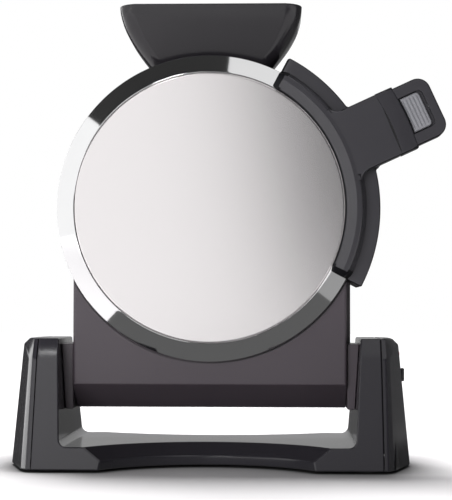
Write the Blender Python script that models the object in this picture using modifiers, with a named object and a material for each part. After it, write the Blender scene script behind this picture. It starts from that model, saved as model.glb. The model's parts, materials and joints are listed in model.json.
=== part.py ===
"""Upright Belgian waffle maker: a round two-part head on a low base with two towers.

Metres, +Z up, front towards -Y. The origin is on the floor under the middle of the base,
in the plane where the two halves of the head meet. The front half folds forward and down
about a pin at the bottom of the head; the rear half is screwed between the towers.
"""
import math

import bmesh
import bpy
from mathutils import Matrix, Vector

# Clearances and walls shared by all pieces
GAP = 0.0003
RUNNING_GAP = 0.0005
OVERRUN = 0.002
EMBED = 0.001
WALL = 0.0025

# Facets of round pieces
DISC_SIDES = 48
PIN_SIDES = 16
SCREW_SIDES = 8
FLAT_ANGLE = math.radians(0.05)
SHARP_ANGLE = math.radians(40)
WELD = 0.00001

# Hinge: the axis runs along X above the floor
HINGE_Z = 0.0570
PIN_RADIUS = 0.0040
PIN_CLEARANCE = 0.00035
PIN_IN_BARREL = 0.0133
PIN_IN_TOWER = 0.0065
BARREL_RADIUS = 0.0095
BARREL_CLEARANCE = 0.0006
PIN_BORE_RADIUS = PIN_RADIUS + PIN_CLEARANCE

# Head: a disc centre above the hinge, depths counted from the plane where the halves meet
HEAD_RISE = 0.1453
HEAD_Z = HINGE_Z + HEAD_RISE
PARTING_DEPTH = 0.0004

# Cooking plate
CAVITY_RADIUS = 0.1016
CAVITY_DRAFT = 0.0026
RIM_DEPTH = 0.0008
CAVITY_DEPTH = 0.0132
PLATE_FLOOR = 0.0060
PLATE_WALL = 0.0034
FLANGE_WIDTH = 0.0091
FLANGE_THICKNESS = 0.0032
PEG_TOP_DEPTH = 0.0035
PEG_PITCH = 0.0222
PEG_FIRST_OFFSET = 0.0130
PEG_FOOT_HALF = 0.0050
PEG_TOP_HALF = 0.0032
DIVIDER_HALF_WIDTH = 0.0020
PLATE_BODY_RADIUS = CAVITY_RADIUS + PLATE_WALL
FLANGE_RADIUS = PLATE_BODY_RADIUS + FLANGE_WIDTH
FLANGE_BACK_DEPTH = RIM_DEPTH + FLANGE_THICKNESS
FLOOR_DEPTH = RIM_DEPTH + CAVITY_DEPTH
FLOOR_RADIUS = CAVITY_RADIUS - CAVITY_DRAFT
PLATE_BACK_DEPTH = FLOOR_DEPTH + PLATE_FLOOR
PLATE_RADIUS = FLOOR_RADIUS - GAP

# Heater, shield, thermostat and fuse behind each cooking plate
ELEMENT_TUBE_RADIUS = 0.0032
ELEMENT_RADIUS = 0.0780
ELEMENT_OPENING = math.radians(36)
ELEMENT_POINTS = 26
SHIELD_RIM_INSET = 0.0052
SHIELD_SPACE = 0.0087
SHIELD_THICKNESS = 0.0008
THERMOSTAT_RADIUS = 0.0080
THERMOSTAT_HEIGHT = 0.0070
FUSE_RADIUS = 0.0020
FUSE_LENGTH = 0.0140
FUSE_OFFSET = 0.0300
SHIELD_RADIUS = PLATE_BODY_RADIUS - SHIELD_RIM_INSET
SHIELD_DEPTH = PLATE_BACK_DEPTH + GAP + SHIELD_SPACE
ELEMENT_DEPTH = PLATE_BACK_DEPTH + GAP + ELEMENT_TUBE_RADIUS

# Housing of each half: a drum, a nose that carries the cover plate, and a square lower part
FLANGE_CLEARANCE = 0.0004
BEHIND_SHIELD = 0.0024
DRUM_STEP = 0.0030
NOSE_HEIGHT = 0.0079
SHOULDER = 0.0097
CHIN_HEIGHT = 0.0088
POCKET_ABOVE_BARREL = 0.0025
DRUM_RADIUS = FLANGE_RADIUS + FLANGE_CLEARANCE + WALL
HOUSING_HALF_WIDTH = DRUM_RADIUS - SHOULDER
HOUSING_DEPTH = SHIELD_DEPTH + SHIELD_THICKNESS + BEHIND_SHIELD
DRUM_DEPTH = HOUSING_DEPTH + DRUM_STEP
NOSE_DEPTH = DRUM_DEPTH + NOSE_HEIGHT
CHIN_Z = HINGE_Z + CHIN_HEIGHT

# Bezel ring and cover plate
BEZEL_LIP = 0.0024
BEZEL_WIDTH = 0.0150
BEZEL_EDGE = 0.0014
BEZEL_HEIGHT = 0.0093
BEZEL_LAND = 0.0012
BEZEL_THICKNESS = 0.0012
COVER_CLEARANCE = 0.0004
COVER_THICKNESS = 0.0008
COVER_CROWN = 0.0008
BEZEL_RADIUS = DRUM_RADIUS + BEZEL_LIP
BEZEL_HOLE_RADIUS = BEZEL_RADIUS - BEZEL_WIDTH
NOSE_RADIUS = BEZEL_HOLE_RADIUS - COVER_CLEARANCE
BEZEL_DEPTH = DRUM_DEPTH + GAP
BEZEL_FRONT_DEPTH = BEZEL_DEPTH + BEZEL_HEIGHT
COVER_DEPTH = NOSE_DEPTH + GAP

# Screws that hold the cooking plates
SCREW_SHANK_RADIUS = 0.0014
SCREW_HOLE_CLEARANCE = 0.0003
SCREW_HEAD_RADIUS = 0.0028
SCREW_HEAD_HEIGHT = 0.0016
SCREW_SEAT = 0.0020
PLATE_SCREW_LENGTH = 0.0120
LUG_RADIUS = 0.0038
LUG_CLEARANCE = 0.0007
PLATE_SCREW_ANGLES = [math.radians(45 + 90 * quarter) for quarter in range(4)]
PLATE_SCREW_RADIUS = PLATE_BODY_RADIUS + LUG_RADIUS + LUG_CLEARANCE

# Pouring spout on the rear half, with a throat that passes through both rims
THROAT_HALF_WIDTH = 0.0320
THROAT_HALF_DEPTH = 0.0090
THROAT_FOOT = 0.0006
SPOUT_WALL = 0.0024
SPOUT_TOP_HALF_WIDTH = 0.0720
SPOUT_TOP_HALF_DEPTH = 0.0340
SPOUT_COLLAR_HALF_WIDTH = 0.0683
SPOUT_COLLAR_HALF_DEPTH = 0.0290
SPOUT_FOOT_HALF_WIDTH = 0.0485
SPOUT_FOOT_HALF_DEPTH = 0.0200
SPOUT_HEIGHT = 0.0424
SPOUT_COLLAR_DROP = 0.0210
SPOUT_FLOOR_RISE = 0.0035
SPOUT_CORNER = 0.0120
SPOUT_CORNER_POINTS = 5
SPOUT_OVER_DRUM = 0.0006
THROAT_FOOT_Z = HEAD_Z + CAVITY_RADIUS + THROAT_FOOT
DRUM_TOP_Z = HEAD_Z + DRUM_RADIUS
SPOUT_TOP_Z = DRUM_TOP_Z + SPOUT_HEIGHT
SPOUT_COLLAR_Z = SPOUT_TOP_Z - SPOUT_COLLAR_DROP
SPOUT_FLOOR_Z = DRUM_TOP_Z + SPOUT_FLOOR_RISE
SPOUT_FOOT_Z = HEAD_Z + math.sqrt(DRUM_RADIUS ** 2 - SPOUT_FOOT_HALF_WIDTH ** 2)

# Handle: an arc bracket over the ring and a paddle, both about the disc centre
HANDLE_ANGLE = math.radians(25)
BRACKET_START = math.radians(-27.5)
BRACKET_SWEEP = math.radians(90)
BRACKET_STEPS = 24
BRACKET_RING_GAP = 0.0004
BRACKET_LIP_OVERLAP = 0.0017
BRACKET_LIP_EDGE = 0.0014
BRACKET_RIDGE = 0.0105
BRACKET_STEP = 0.0016
BRACKET_FLANGE = 0.0115
BRACKET_THICKNESS = 0.0032
FLANGE_DROP = 0.0120
BRACKET_PARTING_GAP = 0.0010
PADDLE_HALF_WIDTH = 0.0250
PADDLE_REACH = 0.0621
PADDLE_DEPTH = 0.0180
PADDLE_CORNER = 0.0095
PADDLE_ROOT_STEPS = 6
STUB_REACH = 0.0170
STUB_NARROWER = 0.0030
REAR_STUB_DEPTH = 0.0210
BACK_COVER_THICKNESS = 0.0022
BRACKET_INNER_RADIUS = BEZEL_HOLE_RADIUS + BRACKET_LIP_OVERLAP
BRACKET_WRAP_RADIUS = BEZEL_RADIUS + BRACKET_RING_GAP
BRACKET_LEDGE_RADIUS = BRACKET_WRAP_RADIUS + BRACKET_STEP
BRACKET_RADIUS = BRACKET_LEDGE_RADIUS + BRACKET_FLANGE
BRACKET_BACK_DEPTH = BEZEL_FRONT_DEPTH + BRACKET_RING_GAP
BRACKET_FRONT_DEPTH = BRACKET_BACK_DEPTH + BRACKET_THICKNESS
FLANGE_DEPTH = BRACKET_FRONT_DEPTH - FLANGE_DROP
PADDLE_ROOT_RADIUS = BRACKET_WRAP_RADIUS + EMBED
PADDLE_TIP_RADIUS = BRACKET_RADIUS + PADDLE_REACH
PADDLE_BACK_DEPTH = BRACKET_FRONT_DEPTH - PADDLE_DEPTH
STUB_RADIUS = BRACKET_RADIUS + STUB_REACH
STUB_HALF_WIDTH = PADDLE_HALF_WIDTH - STUB_NARROWER

# Latch: the button and its hook slide out along the paddle
LATCH_TRAVEL = 0.0024
BUTTON_LENGTH = 0.0156
BUTTON_HALF_WIDTH = 0.0150
BUTTON_FROM_TIP = 0.0098
BUTTON_PROUD = 0.0012
BUTTON_RIB_COUNT = 4
BUTTON_RIB_WIDTH = 0.0014
BUTTON_RIB_HEIGHT = 0.0007
SLIDER_HALF_WIDTH = 0.0080
SLIDER_THICKNESS = 0.0024
SLIDER_BELOW_FACE = 0.0020
SLIDER_PAST_BUTTON = 0.0010
HOOK_THICKNESS = 0.0036
HOOK_FROM_LIP = 0.0012
BARB_OVERLAP = 0.0018
BARB_THICKNESS = 0.0034
CATCH_DEPTH = 0.0050
CATCH_THICKNESS = 0.0020
CATCH_LIP = 0.0100
SPRING_RADIUS = 0.0024
SPRING_WIRE_RADIUS = 0.0004
SPRING_TURNS = 6
SPRING_TURN_POINTS = 8
BUTTON_OUTER = PADDLE_TIP_RADIUS - BUTTON_FROM_TIP
BUTTON_INNER = BUTTON_OUTER - BUTTON_LENGTH
SLIDER_FRONT_DEPTH = BRACKET_FRONT_DEPTH - WALL - SLIDER_BELOW_FACE
SLIDER_BACK_DEPTH = SLIDER_FRONT_DEPTH - SLIDER_THICKNESS
CATCH_INNER = BRACKET_LEDGE_RADIUS + WALL + GAP
CATCH_OUTER = CATCH_INNER + CATCH_LIP
HOOK_INNER = CATCH_OUTER + HOOK_FROM_LIP
HOOK_OUTER = HOOK_INNER + HOOK_THICKNESS
CATCH_BACK_DEPTH = CATCH_DEPTH + CATCH_THICKNESS
BARB_DEPTH = CATCH_BACK_DEPTH + RUNNING_GAP

# Base: two towers and a crossbar, with the opened head's room in front
OPEN_HEAD_ROOM = 0.0060
EAR_ROOM = 0.0050
TOWER_LEAN = 0.0052
TOWER_WIDTH = 0.0155
TOWER_ABOVE_HINGE = 0.0435
TOWER_CHAMFER = 0.0105
BASE_HALF_DEPTH = 0.0780
SHOULDER_HALF_DEPTH = 0.0480
TOWER_TOP_HALF_DEPTH = 0.0400
SKIRT_Z = 0.0020
BAR_FILLET = 0.0060
WAIST_ROOM = 0.0190
WAIST_TOP_RADIUS = 0.1080
WAIST_FACET_DROP = 0.0100
WAIST_FACET_RUN = 0.0130
REAR_WAIST_RADIUS = 0.1760
REAR_WAIST_Y = 0.0470
BAR_TOP_Z = HINGE_Z - HOUSING_DEPTH - OPEN_HEAD_ROOM
TOWER_TOP_Z = HINGE_Z + TOWER_ABOVE_HINGE
SHOULDER_Z = TOWER_TOP_Z - TOWER_CHAMFER
TOWER_FOOT_X = HOUSING_HALF_WIDTH + EAR_ROOM
TOWER_TOP_X = TOWER_FOOT_X + TOWER_LEAN
SEAM_X = TOWER_TOP_X + TOWER_WIDTH
WAIST_CENTRE_Y = WAIST_ROOM - HEAD_RISE
WAIST_FACET_Z = BAR_TOP_Z - WAIST_FACET_DROP
WAIST_FOOT_RADIUS = WAIST_TOP_RADIUS - WAIST_FACET_RUN

# Side covers outside the towers' seams
COVER_FOOT_WIDTH = 0.0240
COVER_TOP_WIDTH = 0.0150
COVER_EDGE_WIDTH = 0.0015
COVER_FACET_WIDTH = 0.0080
COVER_FACET_RUN = 0.0160
COVER_TOP_FACET_WIDTH = 0.0065
COVER_TOP_FACET_RUN = 0.0100
COVER_FLAT_HALF = 0.0190
COVER_TOP_FLAT_HALF = 0.0165
COVER_CHAMFER = 0.0047

# Ears of the rear housing, between the front housing and the towers
EAR_CLEARANCE = 0.0004
EAR_HALF_DEPTH = 0.0260
EAR_ABOVE_HINGE = 0.0390
EAR_SCREW_Y = 0.0180
EAR_SCREW_RISES = [0.0020, 0.0290]
EAR_SCREW_IN_EAR = 0.0055
PIN_BOSS_RADIUS = 0.0070
EAR_TOP_Z = HINGE_Z + EAR_ABOVE_HINGE

# Bottom cover, its screws and the feet
BOTTOM_COVER_Z = 0.0030
BOTTOM_COVER_THICKNESS = 0.0020
BOSS_RADIUS = 0.0038
BOSS_INSET_X = 0.0330
BOSS_INSET_Y = 0.0200
BOTTOM_SCREW_LENGTH = 0.0100
FOOT_RADIUS = 0.0080
FOOT_INSET_X = 0.0120
FOOT_INSET_Y = 0.0200
BOTTOM_COVER_TOP_Z = BOTTOM_COVER_Z + BOTTOM_COVER_THICKNESS
FOOT_TOP_Z = BOTTOM_COVER_Z - GAP

# Slide knob, control unit and lamps on the right side
KNOB_ABOVE_HINGE = 0.0143
KNOB_TRAVEL = 0.0100
KNOB_HALF_LENGTH = 0.0040
KNOB_HALF_HEIGHT = 0.0052
KNOB_PROUD = 0.0026
STEM_HALF = 0.0020
CONTROL_WIDTH = 0.0110
CONTROL_HALF_DEPTH = 0.0160
CONTROL_HALF_HEIGHT = 0.0120
LENS_RADIUS = 0.0026
LENS_LENGTH = 0.0036
LENS_PROUD = 0.0005
LENS_SPACING = 0.0180
LENS_ABOVE_HINGE = 0.0305
KNOB_Z = HINGE_Z + KNOB_ABOVE_HINGE
LENS_Z = HINGE_Z + LENS_ABOVE_HINGE

# Gland for the supply cord, in the rear face of the left tower
GLAND_RISE = 0.0120
GLAND_FROM_SEAM = 0.0085
GLAND_RADIUS = 0.0055
GLAND_FLANGE_RADIUS = 0.0075
GLAND_FLANGE_THICKNESS = 0.0022
GLAND_LENGTH = 0.0100
GLAND_BORE_RADIUS = 0.0034

# Frames: local Z is the depth into a half, away from the plane where the halves meet
HEAD_CENTRE = Matrix.Translation((0, 0, HEAD_Z))
FRONT, REAR = -1, 1
DEPTH_FRAME = {
    FRONT: HEAD_CENTRE @ Matrix.Rotation(math.pi / 2, 4, "X"),
    REAR: HEAD_CENTRE @ Matrix.Rotation(-math.pi / 2, 4, "X"),
}
HANDLE_FRAME = HEAD_CENTRE @ Matrix.Rotation(-HANDLE_ANGLE, 4, "Y")
SIDE_FRAME = Matrix(((0, 0, 1, 0), (1, 0, 0, 0), (0, 1, 0, 0), (0, 0, 0, 1)))
FRONT_VIEW_FRAME = Matrix.Rotation(math.pi / 2, 4, "X")

# Pieces whose long chains of cuts leave the exact solver with open edges
MANY_CUTS = {
    "front_housing", "rear_housing", "front_cooking_plate", "rear_cooking_plate",
    "front_handle", "rear_handle_bracket",
}

# Colour, roughness and metallic value of each material
FINISHES = {
    "dark_plastic": ((0.045, 0.043, 0.045), 0.42, 0.0),
    "handle_plastic": ((0.035, 0.034, 0.036), 0.38, 0.0),
    "button_plastic": ((0.36, 0.36, 0.37), 0.45, 0.0),
    "black_rubber": ((0.02, 0.02, 0.02), 0.8, 0.0),
    "bright_steel": ((0.80, 0.80, 0.81), 0.08, 1.0),
    "brushed_steel": ((0.70, 0.69, 0.69), 0.32, 1.0),
    "plain_steel": ((0.55, 0.55, 0.56), 0.35, 1.0),
    "coated_aluminium": ((0.09, 0.085, 0.08), 0.5, 0.3),
    "bare_aluminium": ((0.62, 0.62, 0.63), 0.4, 1.0),
    "ceramic": ((0.75, 0.72, 0.66), 0.6, 0.0),
    "red_lens": ((0.55, 0.03, 0.02), 0.2, 0.0),
    "green_lens": ((0.03, 0.4, 0.08), 0.2, 0.0),
}


def clear_scene():
    """Remove the objects of the scene that the script starts in."""
    for obj in list(bpy.data.objects):
        bpy.data.objects.remove(obj, do_unlink=True)


def new_collection(name):
    """A collection in the scene."""
    made = bpy.data.collections.new(name)
    bpy.context.scene.collection.children.link(made)
    return made


def wrap(name, shape):
    """Put a bmesh into an object among the cutters, which is hidden until a piece is made of it."""
    bmesh.ops.recalc_face_normals(shape, faces=shape.faces[:])
    mesh = bpy.data.meshes.new(name)
    shape.to_mesh(mesh)
    shape.free()
    return as_cutter(bpy.data.objects.new(name, mesh))


def as_cutter(obj):
    """Keep an object as a cutter or guide."""
    obj.hide_render = True
    obj.display_type = "WIRE"
    CUTTERS.objects.link(obj)
    return obj


def as_piece(obj, finish):
    """Make an object one of the waffle maker's pieces, in a material of its own."""
    colour, roughness, metallic = FINISHES[finish]
    material = bpy.data.materials.new(obj.name)
    material.use_nodes = True
    shader = material.node_tree.nodes["Principled BSDF"]
    shader.inputs["Base Color"].default_value = (*colour, 1.0)
    shader.inputs["Roughness"].default_value = roughness
    shader.inputs["Metallic"].default_value = metallic
    obj.data.materials.append(material)
    if any(modifier.type == "BOOLEAN" for modifier in obj.modifiers):
        merge = obj.modifiers.new("merge_flat_faces", "DECIMATE")
        merge.decimate_type = "DISSOLVE"
        merge.angle_limit = FLAT_ANGLE
    obj.hide_render = False
    obj.display_type = "TEXTURED"
    CUTTERS.objects.unlink(obj)
    PIECES.objects.link(obj)
    return obj


def combine(target, tool, operation):
    """Cut, join or intersect with a Boolean modifier that stays on the target."""
    modifier = target.modifiers.new(tool.name, "BOOLEAN")
    modifier.operation = operation
    modifier.solver = "MANIFOLD" if target.name in MANY_CUTS else "EXACT"
    modifier.object = tool
    return target


def cut(target, *tools):
    for tool in tools:
        combine(target, tool, "DIFFERENCE")
    return target


def join(target, *tools):
    for tool in tools:
        combine(target, tool, "UNION")
    return target


def box(name, low, high, frame=None):
    """A block between two corners of a frame."""
    shape = bmesh.new()
    low, high = Vector(low), Vector(high)
    place = Matrix.Translation((low + high) / 2) @ Matrix.Diagonal((*(high - low), 1))
    bmesh.ops.create_cube(shape, size=1, matrix=(frame or Matrix()) @ place)
    return wrap(name, shape)


def rod(name, start, end, radius, sides=PIN_SIDES, frame=None):
    """A cylinder between two points of a frame."""
    shape = bmesh.new()
    start, end = Vector(start), Vector(end)
    turn = (end - start).to_track_quat("Z", "Y").to_matrix().to_4x4()
    place = (frame or Matrix()) @ Matrix.Translation((start + end) / 2) @ turn
    bmesh.ops.create_cone(
        shape, cap_ends=True, segments=sides, radius1=radius, radius2=radius,
        depth=(end - start).length, matrix=place,
    )
    made = wrap(name, shape)
    smooth(made)
    return made


def smooth(obj):
    """Smooth shading on round walls, with sharp rims."""
    obj.data.shade_smooth()
    obj.data.set_sharp_from_angle(angle=SHARP_ANGLE)


def turned(name, profile, frame, sides=DISC_SIDES):
    """A turned solid: (radius, height) points about the frame's local Z."""
    pairs = list(zip(profile, profile[1:] + profile[:1]))
    area = sum(a[0] * b[1] - b[0] * a[1] for a, b in pairs)
    points = profile[::-1] if area > 0 else profile
    shift = next((i for i, p in enumerate(points) if p[0] == 0 and points[i - 1][0] == 0), 0)
    points = points[shift:] + points[:shift]
    open_ended = points[0][0] == 0 and points[-1][0] == 0
    shape = bmesh.new()
    ring = [shape.verts.new((radius, 0, height)) for radius, height in points]
    for a, b in zip(ring, ring[1:] + ([] if open_ended else ring[:1])):
        shape.edges.new((a, b))
    mesh = bpy.data.meshes.new(name)
    shape.to_mesh(mesh)
    shape.free()
    obj = as_cutter(bpy.data.objects.new(name, mesh))
    obj.matrix_world = frame
    screw = obj.modifiers.new("turn", "SCREW")
    screw.axis = "Z"
    screw.steps = sides
    screw.render_steps = sides
    screw.use_merge_vertices = True
    screw.merge_threshold = WELD
    return obj


def prism(name, outline, low, high, frame):
    """A flat outline between two heights of the frame's local Z."""
    curve = bpy.data.curves.new(name, "CURVE")
    curve.dimensions = "2D"
    curve.fill_mode = "BOTH"
    curve.extrude = (high - low) / 2
    spline = curve.splines.new("POLY")
    spline.points.add(len(outline) - 1)
    for point, (across, up) in zip(spline.points, outline):
        point.co = (across, up, 0, 1)
    spline.use_cyclic_u = True
    guide = bpy.data.objects.new(name + "_outline", curve)
    CUTTERS.objects.link(guide)
    graph = bpy.context.evaluated_depsgraph_get()
    mesh = bpy.data.meshes.new_from_object(guide.evaluated_get(graph))
    bpy.data.objects.remove(guide)
    shape = bmesh.new()
    shape.from_mesh(mesh)
    bpy.data.meshes.remove(mesh)
    bmesh.ops.remove_doubles(shape, verts=shape.verts[:], dist=WELD)
    middle = Matrix.Translation((0, 0, (low + high) / 2))
    bmesh.ops.transform(shape, matrix=frame @ middle, verts=shape.verts[:])
    return wrap(name, shape)


def hull(name, points):
    """The convex solid around some points."""
    shape = bmesh.new()
    verts = [shape.verts.new(point) for point in points]
    made = bmesh.ops.convex_hull(shape, input=verts)
    loose = [v for v in set(made["geom_interior"] + made["geom_unused"]) if v.is_valid]
    bmesh.ops.delete(shape, geom=loose, context="VERTS")
    bmesh.ops.dissolve_limit(
        shape, angle_limit=FLAT_ANGLE, verts=shape.verts[:], edges=shape.edges[:]
    )
    return wrap(name, shape)


def loft(name, sections):
    """A solid through closed sections of equal point counts, capped at both ends."""
    shape = bmesh.new()
    rings = [[shape.verts.new(point) for point in section] for section in sections]
    for below, above in zip(rings, rings[1:]):
        for i in range(len(below)):
            shape.faces.new((below[i - 1], below[i], above[i], above[i - 1]))
    shape.faces.new(rings[0])
    shape.faces.new(rings[-1])
    return wrap(name, shape)


def swept_arc(name, profile, facing, end_wall=0):
    """A (radius, depth) profile carried along the bracket's arc, short of each end by a wall."""
    shape = bmesh.new()
    trim = end_wall / BRACKET_INNER_RADIUS
    start = Matrix.Rotation(-BRACKET_START - trim, 4, "Y")
    face = shape.faces.new(
        [shape.verts.new(HEAD_CENTRE @ start @ Vector((r, facing * depth, 0))) for r, depth in profile]
    )
    geometry = [face, *face.edges, *face.verts]
    bmesh.ops.spin(
        shape, geom=geometry, cent=(0, 0, HEAD_Z), axis=(0, -1, 0), dvec=(0, 0, 0),
        angle=BRACKET_SWEEP - 2 * trim, steps=BRACKET_STEPS, use_duplicate=False,
    )
    return wrap(name, shape)


def rounded_outline(points, radii, steps=4):
    """A closed outline whose corners are replaced by arcs of the given radii."""
    outline = []
    for i, (corner, radius) in enumerate(zip(points, radii)):
        here = Vector(corner)
        if radius <= 0:
            outline.append(tuple(here))
            continue
        before = (Vector(points[i - 1]) - here).normalized()
        after = (Vector(points[(i + 1) % len(points)]) - here).normalized()
        half = before.angle(after) / 2
        start = here + before * (radius / math.tan(half))
        end = here + after * (radius / math.tan(half))
        middle = here + (before + after).normalized() * (radius / math.sin(half))
        first, last = (start - middle).normalized(), (end - middle).normalized()
        for step in range(steps + 1):
            outline.append(tuple(middle + first.slerp(last, step / steps) * radius))
    return outline


def along_y(facing, depth):
    """World Y of a depth in one half."""
    return facing * depth


def tower_inner_x(z):
    """Where the leaning inner face of a tower is at a height."""
    rise = (z - BAR_TOP_Z) / (TOWER_TOP_Z - BAR_TOP_Z)
    return TOWER_FOOT_X + TOWER_LEAN * rise


def cover_outer_x(z):
    """Where the leaning outer face of a side cover is at a height."""
    rise = (z - SKIRT_Z) / (TOWER_TOP_Z - SKIRT_Z)
    return SEAM_X + COVER_FOOT_WIDTH + (COVER_TOP_WIDTH - COVER_FOOT_WIDTH) * rise


def base_front_outline(inset, foot_z):
    """The base from the front, as (x, z): a U with leaning towers and filleted inner corners."""
    right = [
        (SEAM_X - inset, foot_z),
        (SEAM_X - inset, TOWER_TOP_Z - inset),
        (TOWER_TOP_X + inset, TOWER_TOP_Z - inset),
        (TOWER_FOOT_X + inset, BAR_TOP_Z - inset),
    ]
    radii = [0, 0, 0, BAR_FILLET + inset]
    left = [(-x, z) for x, z in reversed(right)]
    return rounded_outline(right + left, radii + radii[::-1])


def base_side_outline(inset, foot_z):
    """The base from the side, as (y, z): leaning faces and chamfered tower tops."""
    slope = (BASE_HALF_DEPTH - SHOULDER_HALF_DEPTH) / (SHOULDER_Z - SKIRT_Z)
    rear = [
        (BASE_HALF_DEPTH - slope * (foot_z - SKIRT_Z) - inset, foot_z),
        (SHOULDER_HALF_DEPTH - inset, SHOULDER_Z),
        (TOWER_TOP_HALF_DEPTH - inset, TOWER_TOP_Z - inset),
    ]
    return rear + [(-y, z) for y, z in reversed(rear)]


def base_block(name, inset, foot_z):
    """The base's solid form, drawn in by an inset on every face above the foot."""
    front = base_front_outline(inset, foot_z)
    side = base_side_outline(inset, foot_z)
    reach_y = BASE_HALF_DEPTH + OVERRUN
    reach_x = SEAM_X + OVERRUN
    block = prism(name, front, -reach_y, reach_y, FRONT_VIEW_FRAME)
    combine(block, prism(name + "_side", side, -reach_x, reach_x, SIDE_FRAME), "INTERSECT")
    return cut(block, front_waist(name + "_front_waist", inset), rear_waist(name + "_rear_waist", inset))


def front_waist(name, inset):
    """The room for the opened front half: a cylinder with a flared top."""
    slope = WAIST_FACET_RUN / WAIST_FACET_DROP
    above = BAR_TOP_Z + OVERRUN
    foot, top = WAIST_FOOT_RADIUS + inset, WAIST_TOP_RADIUS + inset
    profile = [
        (0, -OVERRUN * 2), (foot, -OVERRUN * 2), (foot, WAIST_FACET_Z),
        (top, BAR_TOP_Z), (top + slope * OVERRUN, above), (0, above),
    ]
    return turned(name, profile, Matrix.Translation((0, WAIST_CENTRE_Y, 0)))


def rear_waist(name, inset):
    radius = REAR_WAIST_RADIUS + inset
    y = REAR_WAIST_Y + REAR_WAIST_RADIUS
    return rod(name, (0, y, -OVERRUN * 2), (0, y, BAR_TOP_Z + OVERRUN), radius, DISC_SIDES)


def boss_places():
    """The bottom cover's four screws, as (x, y)."""
    x, y = SEAM_X - BOSS_INSET_X, BASE_HALF_DEPTH - BOSS_INSET_Y
    return [(sx * x, sy * y) for sx in (-1, 1) for sy in (-1, 1)]


def foot_places():
    """Four feet near the corners and one under the middle of the crossbar, as (x, y)."""
    x, y = SEAM_X - FOOT_INSET_X, BASE_HALF_DEPTH - FOOT_INSET_Y
    return [(sx * x, sy * y) for sx in (-1, 1) for sy in (-1, 1)] + [(0, 0)]


def ear_screw_heights():
    return [HINGE_Z + rise for rise in EAR_SCREW_RISES]


def make_base_shell():
    """Towers and crossbar: a shell open below, with bosses for the screws and the hinge pins."""
    shell = base_block("base_shell", 0, SKIRT_Z)
    cut(shell, base_block("base_inside", WALL, -OVERRUN))
    hole = SCREW_SHANK_RADIUS + SCREW_HOLE_CLEARANCE
    for i, (x, y) in enumerate(boss_places()):
        low, high = BOTTOM_COVER_TOP_Z + GAP, BAR_TOP_Z - WALL + EMBED
        join(shell, rod(f"bottom_boss_{i}", (x, y, low), (x, y, high), BOSS_RADIUS))
        end = BOTTOM_COVER_Z + BOTTOM_SCREW_LENGTH + GAP
        cut(shell, rod(f"bottom_boss_hole_{i}", (x, y, 0), (x, y, end), hole, SCREW_SIDES))
    wall = tower_inner_x(HINGE_Z)
    for side in (-1, 1):
        inner, outer = side * (wall + EMBED), side * (wall + PIN_IN_TOWER)
        start, end = side * (wall - OVERRUN), side * (wall + PIN_IN_TOWER + OVERRUN)
        label = "left" if side < 0 else "right"
        join(shell, rod(f"{label}_pin_boss", (inner, 0, HINGE_Z), (outer, 0, HINGE_Z), PIN_BOSS_RADIUS))
        cut(shell, rod(f"{label}_pin_bore", (start, 0, HINGE_Z), (end, 0, HINGE_Z), PIN_BORE_RADIUS))
        for z in ear_screw_heights():
            near, far = side * (tower_inner_x(z) - OVERRUN), side * (tower_inner_x(z) + WALL + OVERRUN)
            name = f"{label}_ear_screw_hole_{round(z * 1000)}"
            cut(shell, rod(name, (near, EAR_SCREW_Y, z), (far, EAR_SCREW_Y, z), hole, SCREW_SIDES))
    start, end = gland_line(-WALL - OVERRUN, OVERRUN)
    cut(shell, rod("gland_hole", start, end, GLAND_RADIUS + GAP))
    return as_piece(shell, "dark_plastic")


def gland_line(inner, outer):
    """Two points on the gland's axis, square to the leaning rear face, at depths outside it."""
    z = SKIRT_Z + GLAND_RISE
    lean = Vector((SHOULDER_Z - SKIRT_Z, BASE_HALF_DEPTH - SHOULDER_HALF_DEPTH)).normalized()
    drop = (BASE_HALF_DEPTH - SHOULDER_HALF_DEPTH) * GLAND_RISE / (SHOULDER_Z - SKIRT_Z)
    face = Vector((GLAND_FROM_SEAM - SEAM_X, BASE_HALF_DEPTH - drop, z))
    outward = Vector((0, lean.x, lean.y))
    return face + outward * inner, face + outward * outer


def make_cord_gland():
    """The inlet in the rear of the base: a flanged bush with an open bore."""
    start, end = gland_line(-GLAND_LENGTH, GAP + EMBED)
    gland = rod("cord_gland", start, end, GLAND_RADIUS)
    near, far = gland_line(GAP, GAP + GLAND_FLANGE_THICKNESS)
    join(gland, rod("gland_flange", near, far, GLAND_FLANGE_RADIUS))
    inside, outside = gland_line(-GLAND_LENGTH - OVERRUN, GLAND_FLANGE_THICKNESS + OVERRUN)
    cut(gland, rod("gland_bore", inside, outside, GLAND_BORE_RADIUS))
    return as_piece(gland, "black_rubber")


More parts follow.
